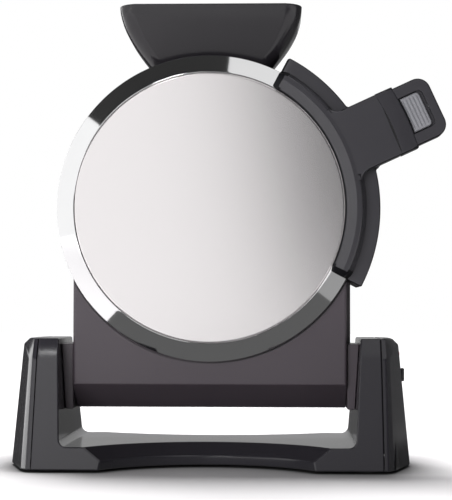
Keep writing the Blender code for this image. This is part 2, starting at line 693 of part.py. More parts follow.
def cover_points(side, inset):
    """The corners of a side cover, drawn in by an inset on its outer faces."""
    seam = SEAM_X + GAP
    rows = [
        (SKIRT_Z, BASE_HALF_DEPTH, COVER_FACET_WIDTH, COVER_FACET_RUN, COVER_FLAT_HALF, 0),
        (SHOULDER_Z, SHOULDER_HALF_DEPTH, COVER_TOP_FACET_WIDTH, COVER_TOP_FACET_RUN, COVER_TOP_FLAT_HALF, 0),
        (TOWER_TOP_Z, TOWER_TOP_HALF_DEPTH, COVER_TOP_FACET_WIDTH - COVER_EDGE_WIDTH,
         COVER_TOP_FACET_RUN, COVER_TOP_FLAT_HALF - COVER_EDGE_WIDTH, COVER_CHAMFER),
    ]
    points = []
    for z, half_depth, facet, run, flat, chamfer in rows:
        level = z - inset if z == TOWER_TOP_Z else z
        level = z - OVERRUN if z == SKIRT_Z and inset else level
        outer = cover_outer_x(z) - chamfer - inset
        start = seam - (OVERRUN if inset else 0)
        for end in (-1, 1):
            points += [
                (side * start, end * (half_depth - inset), level),
                (side * (SEAM_X + COVER_EDGE_WIDTH), end * (half_depth - inset), level),
                (side * (SEAM_X + facet), end * (half_depth - run - inset), level),
                (side * outer, end * flat, level),
            ]
    lip = TOWER_TOP_Z - COVER_CHAMFER
    rise = (lip - SHOULDER_Z) / (TOWER_TOP_Z - SHOULDER_Z)
    lip_half = COVER_TOP_FLAT_HALF - COVER_EDGE_WIDTH * rise
    points += [(side * (cover_outer_x(lip) - inset), end * lip_half, lip) for end in (-1, 1)]
    return points


def make_side_cover(side):
    """The outer half of a tower: a shell open at the seam and below."""
    label = "left" if side < 0 else "right"
    cover = hull(f"{label}_side_cover", cover_points(side, 0))
    cut(cover, hull(f"{label}_cover_inside", cover_points(side, WALL)))
    if side > 0:
        half = KNOB_TRAVEL + STEM_HALF + RUNNING_GAP
        low = (SEAM_X + CONTROL_WIDTH, -half, KNOB_Z - STEM_HALF - RUNNING_GAP)
        high = (cover_outer_x(SKIRT_Z), half, KNOB_Z + STEM_HALF + RUNNING_GAP)
        cut(cover, box("knob_slot", low, high))
        for name, start, end in lens_lines(OVERRUN):
            cut(cover, rod(name + "_hole", start, end, LENS_RADIUS + GAP, SCREW_SIDES))
    return as_piece(cover, "dark_plastic")


def lens_lines(overrun):
    """Each lamp lens: its name and the two ends of its axis, run past both ends by an overrun."""
    outer = cover_outer_x(LENS_Z) + LENS_PROUD
    places = {"power_light_lens": -LENS_SPACING / 2, "ready_light_lens": LENS_SPACING / 2}
    return [
        (name, (outer - LENS_LENGTH - overrun, y, LENS_Z), (outer + overrun, y, LENS_Z))
        for name, y in places.items()
    ]


def make_lenses():
    finishes = {"power_light_lens": "red_lens", "ready_light_lens": "green_lens"}
    return [
        as_piece(rod(name, start, end, LENS_RADIUS, SCREW_SIDES), finishes[name])
        for name, start, end in lens_lines(0)
    ]


def make_control_unit():
    """The thermostat control behind the slide knob, seated on the tower's seam wall."""
    low = (SEAM_X + GAP, -CONTROL_HALF_DEPTH, KNOB_Z - CONTROL_HALF_HEIGHT)
    high = (SEAM_X + CONTROL_WIDTH, CONTROL_HALF_DEPTH, KNOB_Z + CONTROL_HALF_HEIGHT)
    return as_piece(box("temperature_control_unit", low, high), "dark_plastic")


def make_knob():
    """A slide knob: a cap outside the cover on a stem that passes through its slot."""
    seat = cover_outer_x(KNOB_Z - KNOB_HALF_HEIGHT) + GAP
    low = (seat, -KNOB_HALF_LENGTH, KNOB_Z - KNOB_HALF_HEIGHT)
    high = (seat + KNOB_PROUD, KNOB_HALF_LENGTH, KNOB_Z + KNOB_HALF_HEIGHT)
    knob = box("temperature_knob", low, high)
    inner = (SEAM_X + CONTROL_WIDTH + GAP, -STEM_HALF, KNOB_Z - STEM_HALF)
    join(knob, box("knob_stem", inner, (seat + EMBED, STEM_HALF, KNOB_Z + STEM_HALF)))
    return as_piece(knob, "handle_plastic")


def make_bottom_cover():
    """The plate that closes the base from below, inside the skirt."""
    cover = base_block("base_bottom_cover", WALL + GAP, BOTTOM_COVER_Z)
    low = (-SEAM_X, -BASE_HALF_DEPTH, 0)
    high = (SEAM_X, BASE_HALF_DEPTH, BOTTOM_COVER_TOP_Z)
    combine(cover, box("bottom_slab", low, high), "INTERSECT")
    hole = SCREW_SHANK_RADIUS + SCREW_HOLE_CLEARANCE
    for i, (x, y) in enumerate(boss_places()):
        cut(cover, rod(f"bottom_cover_hole_{i}", (x, y, 0), (x, y, BAR_TOP_Z), hole, SCREW_SIDES))
    return as_piece(cover, "dark_plastic")


def screw(name, head, tip, head_height=SCREW_HEAD_HEIGHT, frame=None):
    """A pan-head screw: the head's outer face is at one point, the tip at another."""
    head, tip = Vector(head), Vector(tip)
    way = (tip - head).normalized()
    made = rod(name, head, head + way * head_height, SCREW_HEAD_RADIUS, SCREW_SIDES, frame)
    shank = rod(
        name + "_shank", head + way * (head_height / 2), tip, SCREW_SHANK_RADIUS, SCREW_SIDES, frame
    )
    return as_piece(join(made, shank), "plain_steel")


def make_bottom_screws():
    screws = []
    for i, (x, y) in enumerate(boss_places()):
        head = (x, y, BOTTOM_COVER_Z - GAP - SCREW_HEAD_HEIGHT)
        tip = (x, y, BOTTOM_COVER_Z + BOTTOM_SCREW_LENGTH)
        screws.append(screw(f"bottom_screw_{i + 1}", head, tip))
    return screws


def make_feet():
    return [
        as_piece(rod(f"foot_{i + 1}", (x, y, 0), (x, y, FOOT_TOP_Z), FOOT_RADIUS), "black_rubber")
        for i, (x, y) in enumerate(foot_places())
    ]


def make_hinge_pins():
    """One pin on each side, from the tower through the ear into the barrel."""
    pins = []
    for side, label in ((-1, "left"), (1, "right")):
        inner = side * (HOUSING_HALF_WIDTH - PIN_IN_BARREL)
        outer = side * (tower_inner_x(HINGE_Z) + PIN_IN_TOWER)
        pin = rod(f"hinge_pin_{label}", (inner, 0, HINGE_Z), (outer, 0, HINGE_Z), PIN_RADIUS)
        pins.append(as_piece(pin, "plain_steel"))
    return pins


def make_ear_screws():
    """Screws from inside each tower into the ears."""
    screws = []
    for side, label in ((-1, "left"), (1, "right")):
        for i, z in enumerate(ear_screw_heights()):
            wall = tower_inner_x(z) + WALL + RUNNING_GAP + GAP
            head = (side * (wall + SCREW_HEAD_HEIGHT), EAR_SCREW_Y, z)
            tip = (side * (tower_inner_x(z) - EAR_SCREW_IN_EAR), EAR_SCREW_Y, z)
            screws.append(screw(f"{label}_ear_screw_{i + 1}", head, tip))
    return screws


def housing_side_outline():
    """The front housing's lower part from the side, as (y, z), with its hinge barrel."""
    face = Vector((-HOUSING_DEPTH, CHIN_HEIGHT))
    tangent = math.acos(BARREL_RADIUS / face.length)
    start = math.atan2(face.y, face.x) + tangent
    end = math.radians(90) + math.asin(PARTING_DEPTH / BARREL_RADIUS) + math.tau
    steps = 16
    arc = [start + (end - start) * i / steps for i in range(steps + 1)]
    barrel = [
        (BARREL_RADIUS * math.cos(a), HINGE_Z + BARREL_RADIUS * math.sin(a)) for a in arc
    ]
    top = HEAD_Z + EMBED
    return [(-PARTING_DEPTH, top), (-HOUSING_DEPTH, top), (-HOUSING_DEPTH, CHIN_Z)] + barrel


def rear_side_outline():
    """The rear housing's lower part from the side, as (y, z), before its cove is cut."""
    face = Vector((-HOUSING_DEPTH, CHIN_HEIGHT))
    tangent = math.atan2(face.y, face.x) + math.acos(BARREL_RADIUS / face.length)
    foot_y = -BARREL_RADIUS * math.cos(tangent)
    foot_z = HINGE_Z + BARREL_RADIUS * math.sin(tangent)
    top = HEAD_Z + EMBED
    return [
        (PARTING_DEPTH, top), (HOUSING_DEPTH, top), (HOUSING_DEPTH, CHIN_Z),
        (foot_y, foot_z), (PARTING_DEPTH, foot_z),
    ]


def lug_place(angle):
    """A plate screw's place about the disc centre, in a depth frame."""
    return PLATE_SCREW_RADIUS * math.cos(angle), PLATE_SCREW_RADIUS * math.sin(angle)


def make_housing(name, facing, outline):
    """A half's casing: a square lower part, a drum and a nose, hollow towards the other half."""
    half = HOUSING_HALF_WIDTH
    frame = DEPTH_FRAME[facing]
    casing = prism(name, outline, -half, half, SIDE_FRAME)
    drum = [
        (0, NOSE_DEPTH), (NOSE_RADIUS, NOSE_DEPTH), (NOSE_RADIUS, DRUM_DEPTH),
        (DRUM_RADIUS, DRUM_DEPTH), (DRUM_RADIUS, PARTING_DEPTH), (0, PARTING_DEPTH),
    ]
    join(casing, turned(name + "_drum", drum, frame))
    nose, bore = NOSE_RADIUS - WALL, DRUM_RADIUS - WALL
    inside = [
        (0, NOSE_DEPTH - WALL), (nose, NOSE_DEPTH - WALL), (nose, DRUM_DEPTH - WALL),
        (bore, DRUM_DEPTH - WALL), (bore, -OVERRUN), (0, -OVERRUN),
    ]
    near, far = sorted(along_y(facing, d) for d in (PARTING_DEPTH + WALL, HOUSING_DEPTH - WALL))
    pocket_z = HINGE_Z + BARREL_RADIUS + POCKET_ABOVE_BARREL
    low, high = (WALL - half, near, pocket_z), (half - WALL, far, HEAD_Z - SHOULDER)
    cut(casing, turned(name + "_bore", inside, frame), box(name + "_pocket", low, high))
    for i, angle in enumerate(PLATE_SCREW_ANGLES):
        x, y = lug_place(angle)
        lug = (x, y, FLANGE_BACK_DEPTH + GAP), (x, y, DRUM_DEPTH - WALL + EMBED)
        hole = (x, y, 0), (x, y, RIM_DEPTH + PLATE_SCREW_LENGTH + GAP)
        shank = SCREW_SHANK_RADIUS + SCREW_HOLE_CLEARANCE
        join(casing, rod(f"{name}_lug_{i}", *lug, LUG_RADIUS, PIN_SIDES, frame))
        cut(casing, rod(f"{name}_lug_hole_{i}", *hole, shank, SCREW_SIDES, frame))
    return cut(casing, throat_notch(name + "_throat_notch", HEAD_Z + CAVITY_RADIUS, DRUM_TOP_Z))


def throat_notch(name, low_z, high_z):
    """The slot in a rim or casing that the spout's throat passes through."""
    half_width = THROAT_HALF_WIDTH + RUNNING_GAP
    half_depth = THROAT_HALF_DEPTH + RUNNING_GAP
    low = (-half_width, -half_depth, low_z - OVERRUN)
    return box(name, low, (half_width, half_depth, high_z + OVERRUN))


def make_front_housing():
    casing = make_housing("front_housing", FRONT, housing_side_outline())
    for side, label in ((-1, "left"), (1, "right")):
        start = side * (HOUSING_HALF_WIDTH - PIN_IN_BARREL - RUNNING_GAP)
        end = side * (HOUSING_HALF_WIDTH + OVERRUN)
        cut(casing, rod(f"{label}_barrel_bore", (start, 0, HINGE_Z), (end, 0, HINGE_Z), PIN_BORE_RADIUS))
    return as_piece(casing, "dark_plastic")


def make_rear_housing():
    """The fixed half's casing, with an ear on each side for the hinge pin and two screws."""
    casing = make_housing("rear_housing", REAR, rear_side_outline())
    inner = HOUSING_HALF_WIDTH + EAR_CLEARANCE
    foot_z = HINGE_Z - BARREL_RADIUS
    cove = BARREL_RADIUS + BARREL_CLEARANCE
    for side, label in ((-1, "left"), (1, "right")):
        points = [
            (side * x, y, z)
            for z in (foot_z, EAR_TOP_Z)
            for x in (inner, tower_inner_x(z) - GAP)
            for y in (-EAR_HALF_DEPTH, EAR_HALF_DEPTH)
        ]
        root = sorted((side * (HOUSING_HALF_WIDTH - EMBED), side * (inner + EMBED)))
        low = (root[0], cove + GAP, foot_z + EMBED)
        high = (root[1], EAR_HALF_DEPTH - EMBED, EAR_TOP_Z - EMBED)
        join(casing, box(f"{label}_ear_root", low, high), hull(f"{label}_ear", points))
    end = inner + GAP
    cut(casing, rod("barrel_room", (-end, 0, HINGE_Z), (end, 0, HINGE_Z), cove, DISC_SIDES // 2))
    pin_end = tower_inner_x(HINGE_Z) + OVERRUN
    cut(casing, rod("ear_pin_bore", (-pin_end, 0, HINGE_Z), (pin_end, 0, HINGE_Z), PIN_BORE_RADIUS))
    for z in ear_screw_heights():
        for side, label in ((-1, "left"), (1, "right")):
            start = side * (tower_inner_x(z) - EAR_SCREW_IN_EAR - GAP)
            end = side * (tower_inner_x(z) + OVERRUN)
            name = f"{label}_ear_hole_{round(z * 1000)}"
            hole = SCREW_SHANK_RADIUS + SCREW_HOLE_CLEARANCE
            cut(casing, rod(name, (start, EAR_SCREW_Y, z), (end, EAR_SCREW_Y, z), hole, SCREW_SIDES))
    return as_piece(casing, "dark_plastic")


def make_bezel_ring(name, facing):
    """The bright ring around the cover plate, with a sloping face."""
    thickness = BEZEL_THICKNESS
    profile = [
        (BEZEL_RADIUS - thickness, BEZEL_DEPTH),
        (BEZEL_RADIUS, BEZEL_DEPTH),
        (BEZEL_RADIUS, BEZEL_DEPTH + BEZEL_EDGE),
        (BEZEL_HOLE_RADIUS + BEZEL_LAND, BEZEL_FRONT_DEPTH),
        (BEZEL_HOLE_RADIUS, BEZEL_FRONT_DEPTH),
        (BEZEL_HOLE_RADIUS, BEZEL_FRONT_DEPTH - thickness),
        (BEZEL_HOLE_RADIUS + BEZEL_LAND, BEZEL_FRONT_DEPTH - thickness),
    ]
    return as_piece(turned(name, profile, DEPTH_FRAME[facing]), "bright_steel")


def make_cover_plate(name, facing):
    """The brushed plate on the nose, a slightly crowned sheet."""
    under = [
        (0, COVER_DEPTH + COVER_CROWN), (NOSE_RADIUS / 2, COVER_DEPTH + COVER_CROWN * 3 / 4),
        (NOSE_RADIUS, COVER_DEPTH),
    ]
    upper = [(radius, depth + COVER_THICKNESS) for radius, depth in reversed(under)]
    return as_piece(turned(name, under + upper, DEPTH_FRAME[facing]), "brushed_steel")


def peg_offsets():
    """Peg centres along one direction of a quarter of the waffle."""
    count = int((FLOOR_RADIUS - PEG_FIRST_OFFSET) / PEG_PITCH) + 1
    return [PEG_FIRST_OFFSET + PEG_PITCH * i for i in range(count)]


def make_pegs(name, frame):
    """The grid of tapered square pegs that makes the waffle's pockets."""
    shape = bmesh.new()
    reach = FLOOR_RADIUS - PEG_FOOT_HALF * math.sqrt(2)
    foot, top = FLOOR_DEPTH + EMBED, PEG_TOP_DEPTH
    square = Matrix.Rotation(math.radians(45), 4, "Z")
    for x in peg_offsets():
        for y in peg_offsets():
            if math.hypot(x, y) > reach:
                continue
            for sx, sy in ((1, 1), (1, -1), (-1, 1), (-1, -1)):
                place = Matrix.Translation((sx * x, sy * y, (foot + top) / 2))
                bmesh.ops.create_cone(
                    shape, cap_ends=True, segments=4, radius1=PEG_TOP_HALF * math.sqrt(2),
                    radius2=PEG_FOOT_HALF * math.sqrt(2), depth=foot - top,
                    matrix=frame @ place @ square,
                )
    return wrap(name, shape)


def cross_outline():
    """The cross that divides the waffle into quarters."""
    long, wide = PLATE_RADIUS - DIVIDER_HALF_WIDTH, DIVIDER_HALF_WIDTH
    quarter = [(long, -wide), (long, wide), (wide, wide)]
    return [
        (x * cos - y * sin, x * sin + y * cos)
        for cos, sin in ((1, 0), (0, 1), (-1, 0), (0, -1))
        for x, y in quarter
    ]


def make_cooking_plate(name, facing):
    """The floor of the cavity, with pegs and a dividing cross."""
    frame = DEPTH_FRAME[facing]
    profile = [
        (0, PLATE_BACK_DEPTH), (PLATE_RADIUS, PLATE_BACK_DEPTH), (PLATE_RADIUS, FLOOR_DEPTH), (0, FLOOR_DEPTH),
    ]
    plate = turned(name, profile, frame)
    join(plate, make_pegs(name + "_pegs", frame))
    foot = FLOOR_DEPTH + EMBED
    join(plate, prism(name + "_divider", cross_outline(), PEG_TOP_DEPTH, foot, frame))
    return as_piece(plate, "coated_aluminium")


def make_plate_rim(name, facing):
    """The cavity's tapered wall and flange, with screw seats and a notch for the batter."""
    frame = DEPTH_FRAME[facing]
    profile = [
        (FLOOR_RADIUS, PLATE_BACK_DEPTH), (PLATE_BODY_RADIUS, PLATE_BACK_DEPTH),
        (PLATE_BODY_RADIUS, FLANGE_BACK_DEPTH), (FLANGE_RADIUS, FLANGE_BACK_DEPTH),
        (FLANGE_RADIUS, RIM_DEPTH), (CAVITY_RADIUS, RIM_DEPTH), (FLOOR_RADIUS, FLOOR_DEPTH),
    ]
    rim = turned(name, profile, frame)
    seat_radius = SCREW_HEAD_RADIUS + SCREW_HOLE_CLEARANCE
    hole_radius = SCREW_SHANK_RADIUS + SCREW_HOLE_CLEARANCE
    for i, angle in enumerate(PLATE_SCREW_ANGLES):
        x, y = lug_place(angle)
        seat = (x, y, 0), (x, y, RIM_DEPTH + SCREW_SEAT)
        hole = (x, y, 0), (x, y, FLANGE_BACK_DEPTH + OVERRUN)
        cut(rim, rod(f"{name}_screw_seat_{i}", *seat, seat_radius, SCREW_SIDES, frame))
        cut(rim, rod(f"{name}_screw_hole_{i}", *hole, hole_radius, SCREW_SIDES, frame))
    cut(rim, throat_notch(name + "_throat_notch", HEAD_Z + CAVITY_RADIUS - PLATE_WALL, DRUM_TOP_Z))
    return as_piece(rim, "coated_aluminium")


def make_plate_screws(label, facing):
    screws = []
    for i, angle in enumerate(PLATE_SCREW_ANGLES):
        x, y = lug_place(angle)
        head = RIM_DEPTH + SCREW_SEAT - GAP - SCREW_HEAD_HEIGHT
        tip = RIM_DEPTH + PLATE_SCREW_LENGTH
        name = f"{label}_plate_screw_{i + 1}"
        screws.append(screw(name, (x, y, head), (x, y, tip), frame=DEPTH_FRAME[facing]))
    return screws


def make_element(name, facing):
    """The tubular heater: most of a circle on the back of the cooking plate."""
    curve = bpy.data.curves.new(name, "CURVE")
    curve.dimensions = "3D"
    curve.bevel_depth = ELEMENT_TUBE_RADIUS
    curve.bevel_resolution = 1
    curve.use_fill_caps = True
    spline = curve.splines.new("POLY")
    spline.points.add(ELEMENT_POINTS - 1)
    for i, point in enumerate(spline.points):
        share = i / (ELEMENT_POINTS - 1)
        angle = ELEMENT_OPENING / 2 + (math.tau - ELEMENT_OPENING) * share - math.pi / 2
        point.co = (ELEMENT_RADIUS * math.cos(angle), ELEMENT_RADIUS * math.sin(angle), ELEMENT_DEPTH, 1)
    obj = as_cutter(bpy.data.objects.new(name, curve))
    obj.matrix_world = DEPTH_FRAME[facing]
    return as_piece(obj, "plain_steel")


def make_heat_shield(name, facing):
    """A thin dish over the heater, its rim on the back of the cooking plate."""
    rim = PLATE_BACK_DEPTH + GAP
    outer = SHIELD_RADIUS + SHIELD_THICKNESS
    profile = [
        (0, SHIELD_DEPTH + SHIELD_THICKNESS), (outer, SHIELD_DEPTH + SHIELD_THICKNESS),
        (outer, rim), (SHIELD_RADIUS, rim), (SHIELD_RADIUS, SHIELD_DEPTH), (0, SHIELD_DEPTH),
    ]
    return as_piece(turned(name, profile, DEPTH_FRAME[facing]), "bare_aluminium")


def make_thermostat():
    start = PLATE_BACK_DEPTH + GAP
    ends = (0, 0, start), (0, 0, start + THERMOSTAT_HEIGHT)
    made = rod("rear_thermostat", *ends, THERMOSTAT_RADIUS, PIN_SIDES, DEPTH_FRAME[REAR])
    return as_piece(made, "ceramic")


def make_fuse():
    depth = PLATE_BACK_DEPTH + GAP + FUSE_RADIUS
    ends = (-FUSE_LENGTH / 2, FUSE_OFFSET, depth), (FUSE_LENGTH / 2, FUSE_OFFSET, depth)
    made = rod("thermal_fuse", *ends, FUSE_RADIUS, SCREW_SIDES, DEPTH_FRAME[REAR])
    return as_piece(made, "ceramic")


def spout_section(half_width, half_depth, z, corner):
    """A level section of the spout with round corners, as points."""
    corner = min(corner, half_depth * 3 / 4)
    points = []
    for quarter in range(4):
        sx = 1 if quarter in (0, 3) else -1
        sy = 1 if quarter in (0, 1) else -1
        for i in range(SPOUT_CORNER_POINTS):
            angle = math.pi / 2 * (quarter + i / (SPOUT_CORNER_POINTS - 1))
            x = sx * (half_width - corner) + corner * math.cos(angle)
            y = sy * (half_depth - corner) + corner * math.sin(angle)
            points.append((x, y, z))
    return points


def make_spout():
    """The funnel over the head, one moulding with the throat that reaches the cavity."""
    throat_top = SPOUT_FLOOR_Z + OVERRUN
    outside = [
        spout_section(SPOUT_FOOT_HALF_WIDTH - SPOUT_WALL, SPOUT_FOOT_HALF_DEPTH - SPOUT_WALL,
                      HEAD_Z + CAVITY_RADIUS, SPOUT_CORNER),
        spout_section(SPOUT_FOOT_HALF_WIDTH, SPOUT_FOOT_HALF_DEPTH, SPOUT_FOOT_Z, SPOUT_CORNER),
        spout_section(SPOUT_COLLAR_HALF_WIDTH, SPOUT_COLLAR_HALF_DEPTH, SPOUT_COLLAR_Z, SPOUT_CORNER),
        spout_section(SPOUT_TOP_HALF_WIDTH, SPOUT_TOP_HALF_DEPTH, SPOUT_TOP_Z, SPOUT_CORNER),
    ]
    spout = loft("pour_spout", outside)
    room = DRUM_RADIUS + SPOUT_OVER_DRUM
    reach = SPOUT_TOP_HALF_DEPTH + OVERRUN
    cut(spout, rod("drum_room", (0, -reach, HEAD_Z), (0, reach, HEAD_Z), room, DISC_SIDES))
    low = (-THROAT_HALF_WIDTH, -THROAT_HALF_DEPTH, THROAT_FOOT_Z)
    join(spout, box("spout_throat", low, (THROAT_HALF_WIDTH, THROAT_HALF_DEPTH, throat_top)))
    width, depth = THROAT_HALF_WIDTH - SPOUT_WALL, THROAT_HALF_DEPTH - SPOUT_WALL
    inner_corner = SPOUT_CORNER - SPOUT_WALL
    inside = [
        spout_section(width, depth, SPOUT_FLOOR_Z, inner_corner),
        spout_section(SPOUT_COLLAR_HALF_WIDTH - SPOUT_WALL, SPOUT_COLLAR_HALF_DEPTH - SPOUT_WALL,
                      SPOUT_COLLAR_Z, inner_corner),
        spout_section(SPOUT_TOP_HALF_WIDTH - SPOUT_WALL, SPOUT_TOP_HALF_DEPTH - SPOUT_WALL,
                      SPOUT_TOP_Z + EMBED, inner_corner),
    ]
    bore = (-width, -depth, THROAT_FOOT_Z - OVERRUN), (width, depth, throat_top)
    cut(spout, loft("spout_inside", inside), box("throat_bore", *bore))
    return as_piece(spout, "dark_plastic")


def bracket_profile():
    """The bracket's section as (radius, depth): a lip over the ring and a flange beside it."""
    wrap_depth = BEZEL_DEPTH - GAP
    return [
        (BRACKET_INNER_RADIUS, BRACKET_BACK_DEPTH),
        (BRACKET_INNER_RADIUS, BRACKET_FRONT_DEPTH - BRACKET_LIP_EDGE),
        (BRACKET_INNER_RADIUS + BRACKET_LIP_EDGE, BRACKET_FRONT_DEPTH - BRACKET_LIP_EDGE / 2),
        (BRACKET_INNER_RADIUS + BRACKET_RIDGE, BRACKET_FRONT_DEPTH),
        (BRACKET_LEDGE_RADIUS, BRACKET_FRONT_DEPTH - BRACKET_LIP_EDGE / 2),
        (BRACKET_LEDGE_RADIUS, FLANGE_DEPTH),
        (BRACKET_RADIUS, FLANGE_DEPTH - BRACKET_LIP_EDGE),
        (BRACKET_RADIUS, BRACKET_PARTING_GAP),
        (DRUM_RADIUS + BRACKET_RING_GAP, BRACKET_PARTING_GAP),
        (DRUM_RADIUS + BRACKET_RING_GAP, wrap_depth),
        (BRACKET_WRAP_RADIUS, wrap_depth),
        (BRACKET_WRAP_RADIUS, BRACKET_BACK_DEPTH),
    ]


def bracket_hollow():
    """The hollow of the bracket's flange, open at the plane where the halves meet."""
    inner, outer = BRACKET_WRAP_RADIUS + WALL, BRACKET_RADIUS - WALL
    return [(inner, -OVERRUN), (inner, FLANGE_DEPTH - WALL), (outer, FLANGE_DEPTH - WALL), (outer, -OVERRUN)]


def handle_box(name, inner, outer, half_width, depths, facing):
    """A block along the handle: radii about the disc centre and depths in one half."""
    near, far = sorted(along_y(facing, depth) for depth in depths)
    return box(name, (inner, near, -half_width), (outer, far, half_width), HANDLE_FRAME)


def paddle_outline(inset):
    """The paddle seen from the front, as (radius, across): an arc at its root, round outer corners."""
    tip, half = PADDLE_TIP_RADIUS - inset, PADDLE_HALF_WIDTH - inset
    root = PADDLE_ROOT_RADIUS + inset
    spread = math.asin(half / root)
    turns = [spread * (1 - 2 * i / PADDLE_ROOT_STEPS) for i in range(PADDLE_ROOT_STEPS + 1)]
    arc = [(root * math.cos(turn), root * math.sin(turn)) for turn in turns]
    radii = [0] * len(arc) + [PADDLE_CORNER - inset] * 2
    return rounded_outline(arc + [(tip, -half), (tip, half)], radii)


def casing_room(name, facing):
    """The room that a bracket leaves for the square lower part of its half."""
    x = HOUSING_HALF_WIDTH + BRACKET_RING_GAP
    near, far = sorted(along_y(facing, depth) for depth in (-OVERRUN, HOUSING_DEPTH + BRACKET_RING_GAP))
    return box(name, (0, near, HINGE_Z), (x, far, HEAD_Z))


def make_front_bracket():
    """The front handle: arc bracket, hollow paddle and the housing of the latch."""
    bracket = swept_arc("front_handle", bracket_profile(), FRONT)
    level = HANDLE_FRAME @ Matrix.Rotation(math.pi / 2, 4, "X")
    paddle = prism("paddle", paddle_outline(0), PADDLE_BACK_DEPTH, BRACKET_FRONT_DEPTH, level)
    stub_depths = BRACKET_PARTING_GAP, PADDLE_BACK_DEPTH + EMBED
    root = BRACKET_LEDGE_RADIUS
    join(bracket, paddle)
    join(bracket, handle_box("front_stub", root, STUB_RADIUS, STUB_HALF_WIDTH, stub_depths, FRONT))
    cut(bracket, swept_arc("front_bracket_hollow", bracket_hollow(), FRONT, WALL))
    top = BRACKET_FRONT_DEPTH - WALL
    cut(bracket, prism("paddle_inside", paddle_outline(WALL), PADDLE_BACK_DEPTH - OVERRUN, top, level))
    inner, outer = root + WALL, STUB_RADIUS - WALL
    half = STUB_HALF_WIDTH - WALL
    inside = -OVERRUN, PADDLE_BACK_DEPTH + OVERRUN
    cut(bracket, handle_box("front_stub_inside", inner, outer, half, inside, FRONT))
    gap_in, gap_out = BUTTON_INNER - RUNNING_GAP, BUTTON_OUTER + LATCH_TRAVEL + RUNNING_GAP
    window_depths = top - OVERRUN, BRACKET_FRONT_DEPTH + OVERRUN
    half = BUTTON_HALF_WIDTH + RUNNING_GAP
    cut(bracket, handle_box("button_window", gap_in, gap_out, half, window_depths, FRONT))
    cut(bracket, casing_room("front_casing_room", FRONT))
    return as_piece(bracket, "handle_plastic")


def make_rear_bracket():
    """The rear half's bracket, with a short stub that holds the catch."""
    bracket = swept_arc("rear_handle_bracket", bracket_profile(), REAR)
    root = BRACKET_LEDGE_RADIUS
    depths = BRACKET_PARTING_GAP, REAR_STUB_DEPTH
    join(bracket, handle_box("rear_stub", root, STUB_RADIUS, STUB_HALF_WIDTH, depths, REAR))
    cut(bracket, swept_arc("rear_bracket_hollow", bracket_hollow(), REAR, WALL))
    half = STUB_HALF_WIDTH - WALL
    inner, outer = root + WALL, STUB_RADIUS - WALL
    inside = -OVERRUN, REAR_STUB_DEPTH - WALL
    cut(bracket, handle_box("rear_stub_inside", inner, outer, half, inside, REAR))
    cut(bracket, casing_room("rear_casing_room", REAR))
    return as_piece(bracket, "handle_plastic")


def make_handle_back_cover():
    """The plate that closes the paddle from behind, outside the latch housing."""
    half = PADDLE_HALF_WIDTH - WALL - GAP
    tip = PADDLE_TIP_RADIUS - WALL - GAP
    corner = PADDLE_CORNER - WALL
    root = STUB_RADIUS + GAP
    outline = rounded_outline(
        [(root, -half), (tip, -half), (tip, half), (root, half)], [0, corner, corner, 0]
    )
    level = HANDLE_FRAME @ Matrix.Rotation(math.pi / 2, 4, "X")
    top = PADDLE_BACK_DEPTH + BACK_COVER_THICKNESS
    return as_piece(prism("handle_back_cover", outline, PADDLE_BACK_DEPTH, top, level), "handle_plastic")


def make_button():
    """The ribbed release button in the paddle's window."""
    face = BRACKET_FRONT_DEPTH + BUTTON_PROUD
    depths = SLIDER_FRONT_DEPTH + GAP, face
    button = handle_box("latch_button", BUTTON_INNER, BUTTON_OUTER, BUTTON_HALF_WIDTH, depths, FRONT)
    pitch = BUTTON_LENGTH / (BUTTON_RIB_COUNT + 1)
    for i in range(BUTTON_RIB_COUNT):
        middle = BUTTON_INNER + pitch * (i + 1)
        low, high = middle - BUTTON_RIB_WIDTH / 2, middle + BUTTON_RIB_WIDTH / 2
        rib_depths = face - EMBED, face + BUTTON_RIB_HEIGHT
        half = BUTTON_HALF_WIDTH - BUTTON_RIB_WIDTH
        join(button, handle_box(f"button_rib_{i}", low, high, half, rib_depths, FRONT))
    return as_piece(button, "button_plastic")


def make_hook():
    """The latch slider under the button, its arm through the stubs and the barb behind the catch."""
    slider = SLIDER_BACK_DEPTH, SLIDER_FRONT_DEPTH
    half = SLIDER_HALF_WIDTH
    outer = BUTTON_OUTER + SLIDER_PAST_BUTTON
    hook = handle_box("latch_hook", HOOK_INNER - EMBED, outer, half, slider, FRONT)
    back = BARB_DEPTH + BARB_THICKNESS
    arm_depths = EMBED - back, SLIDER_BACK_DEPTH + EMBED
    join(hook, handle_box("hook_arm", HOOK_INNER, HOOK_OUTER, half - EMBED, arm_depths, FRONT))
    barb_inner = CATCH_OUTER - BARB_OVERLAP
    barb = handle_box("hook_barb", barb_inner, HOOK_OUTER - EMBED, half, (BARB_DEPTH, back), REAR)
    return as_piece(join(hook, barb), "plain_steel")


def make_catch():
    """The steel lip across the rear stub that the barb holds behind."""
    half = STUB_HALF_WIDTH - WALL - GAP
    depths = CATCH_DEPTH, CATCH_BACK_DEPTH
    made = handle_box("latch_catch", CATCH_INNER, CATCH_OUTER, half, depths, REAR)
    return as_piece(made, "plain_steel")


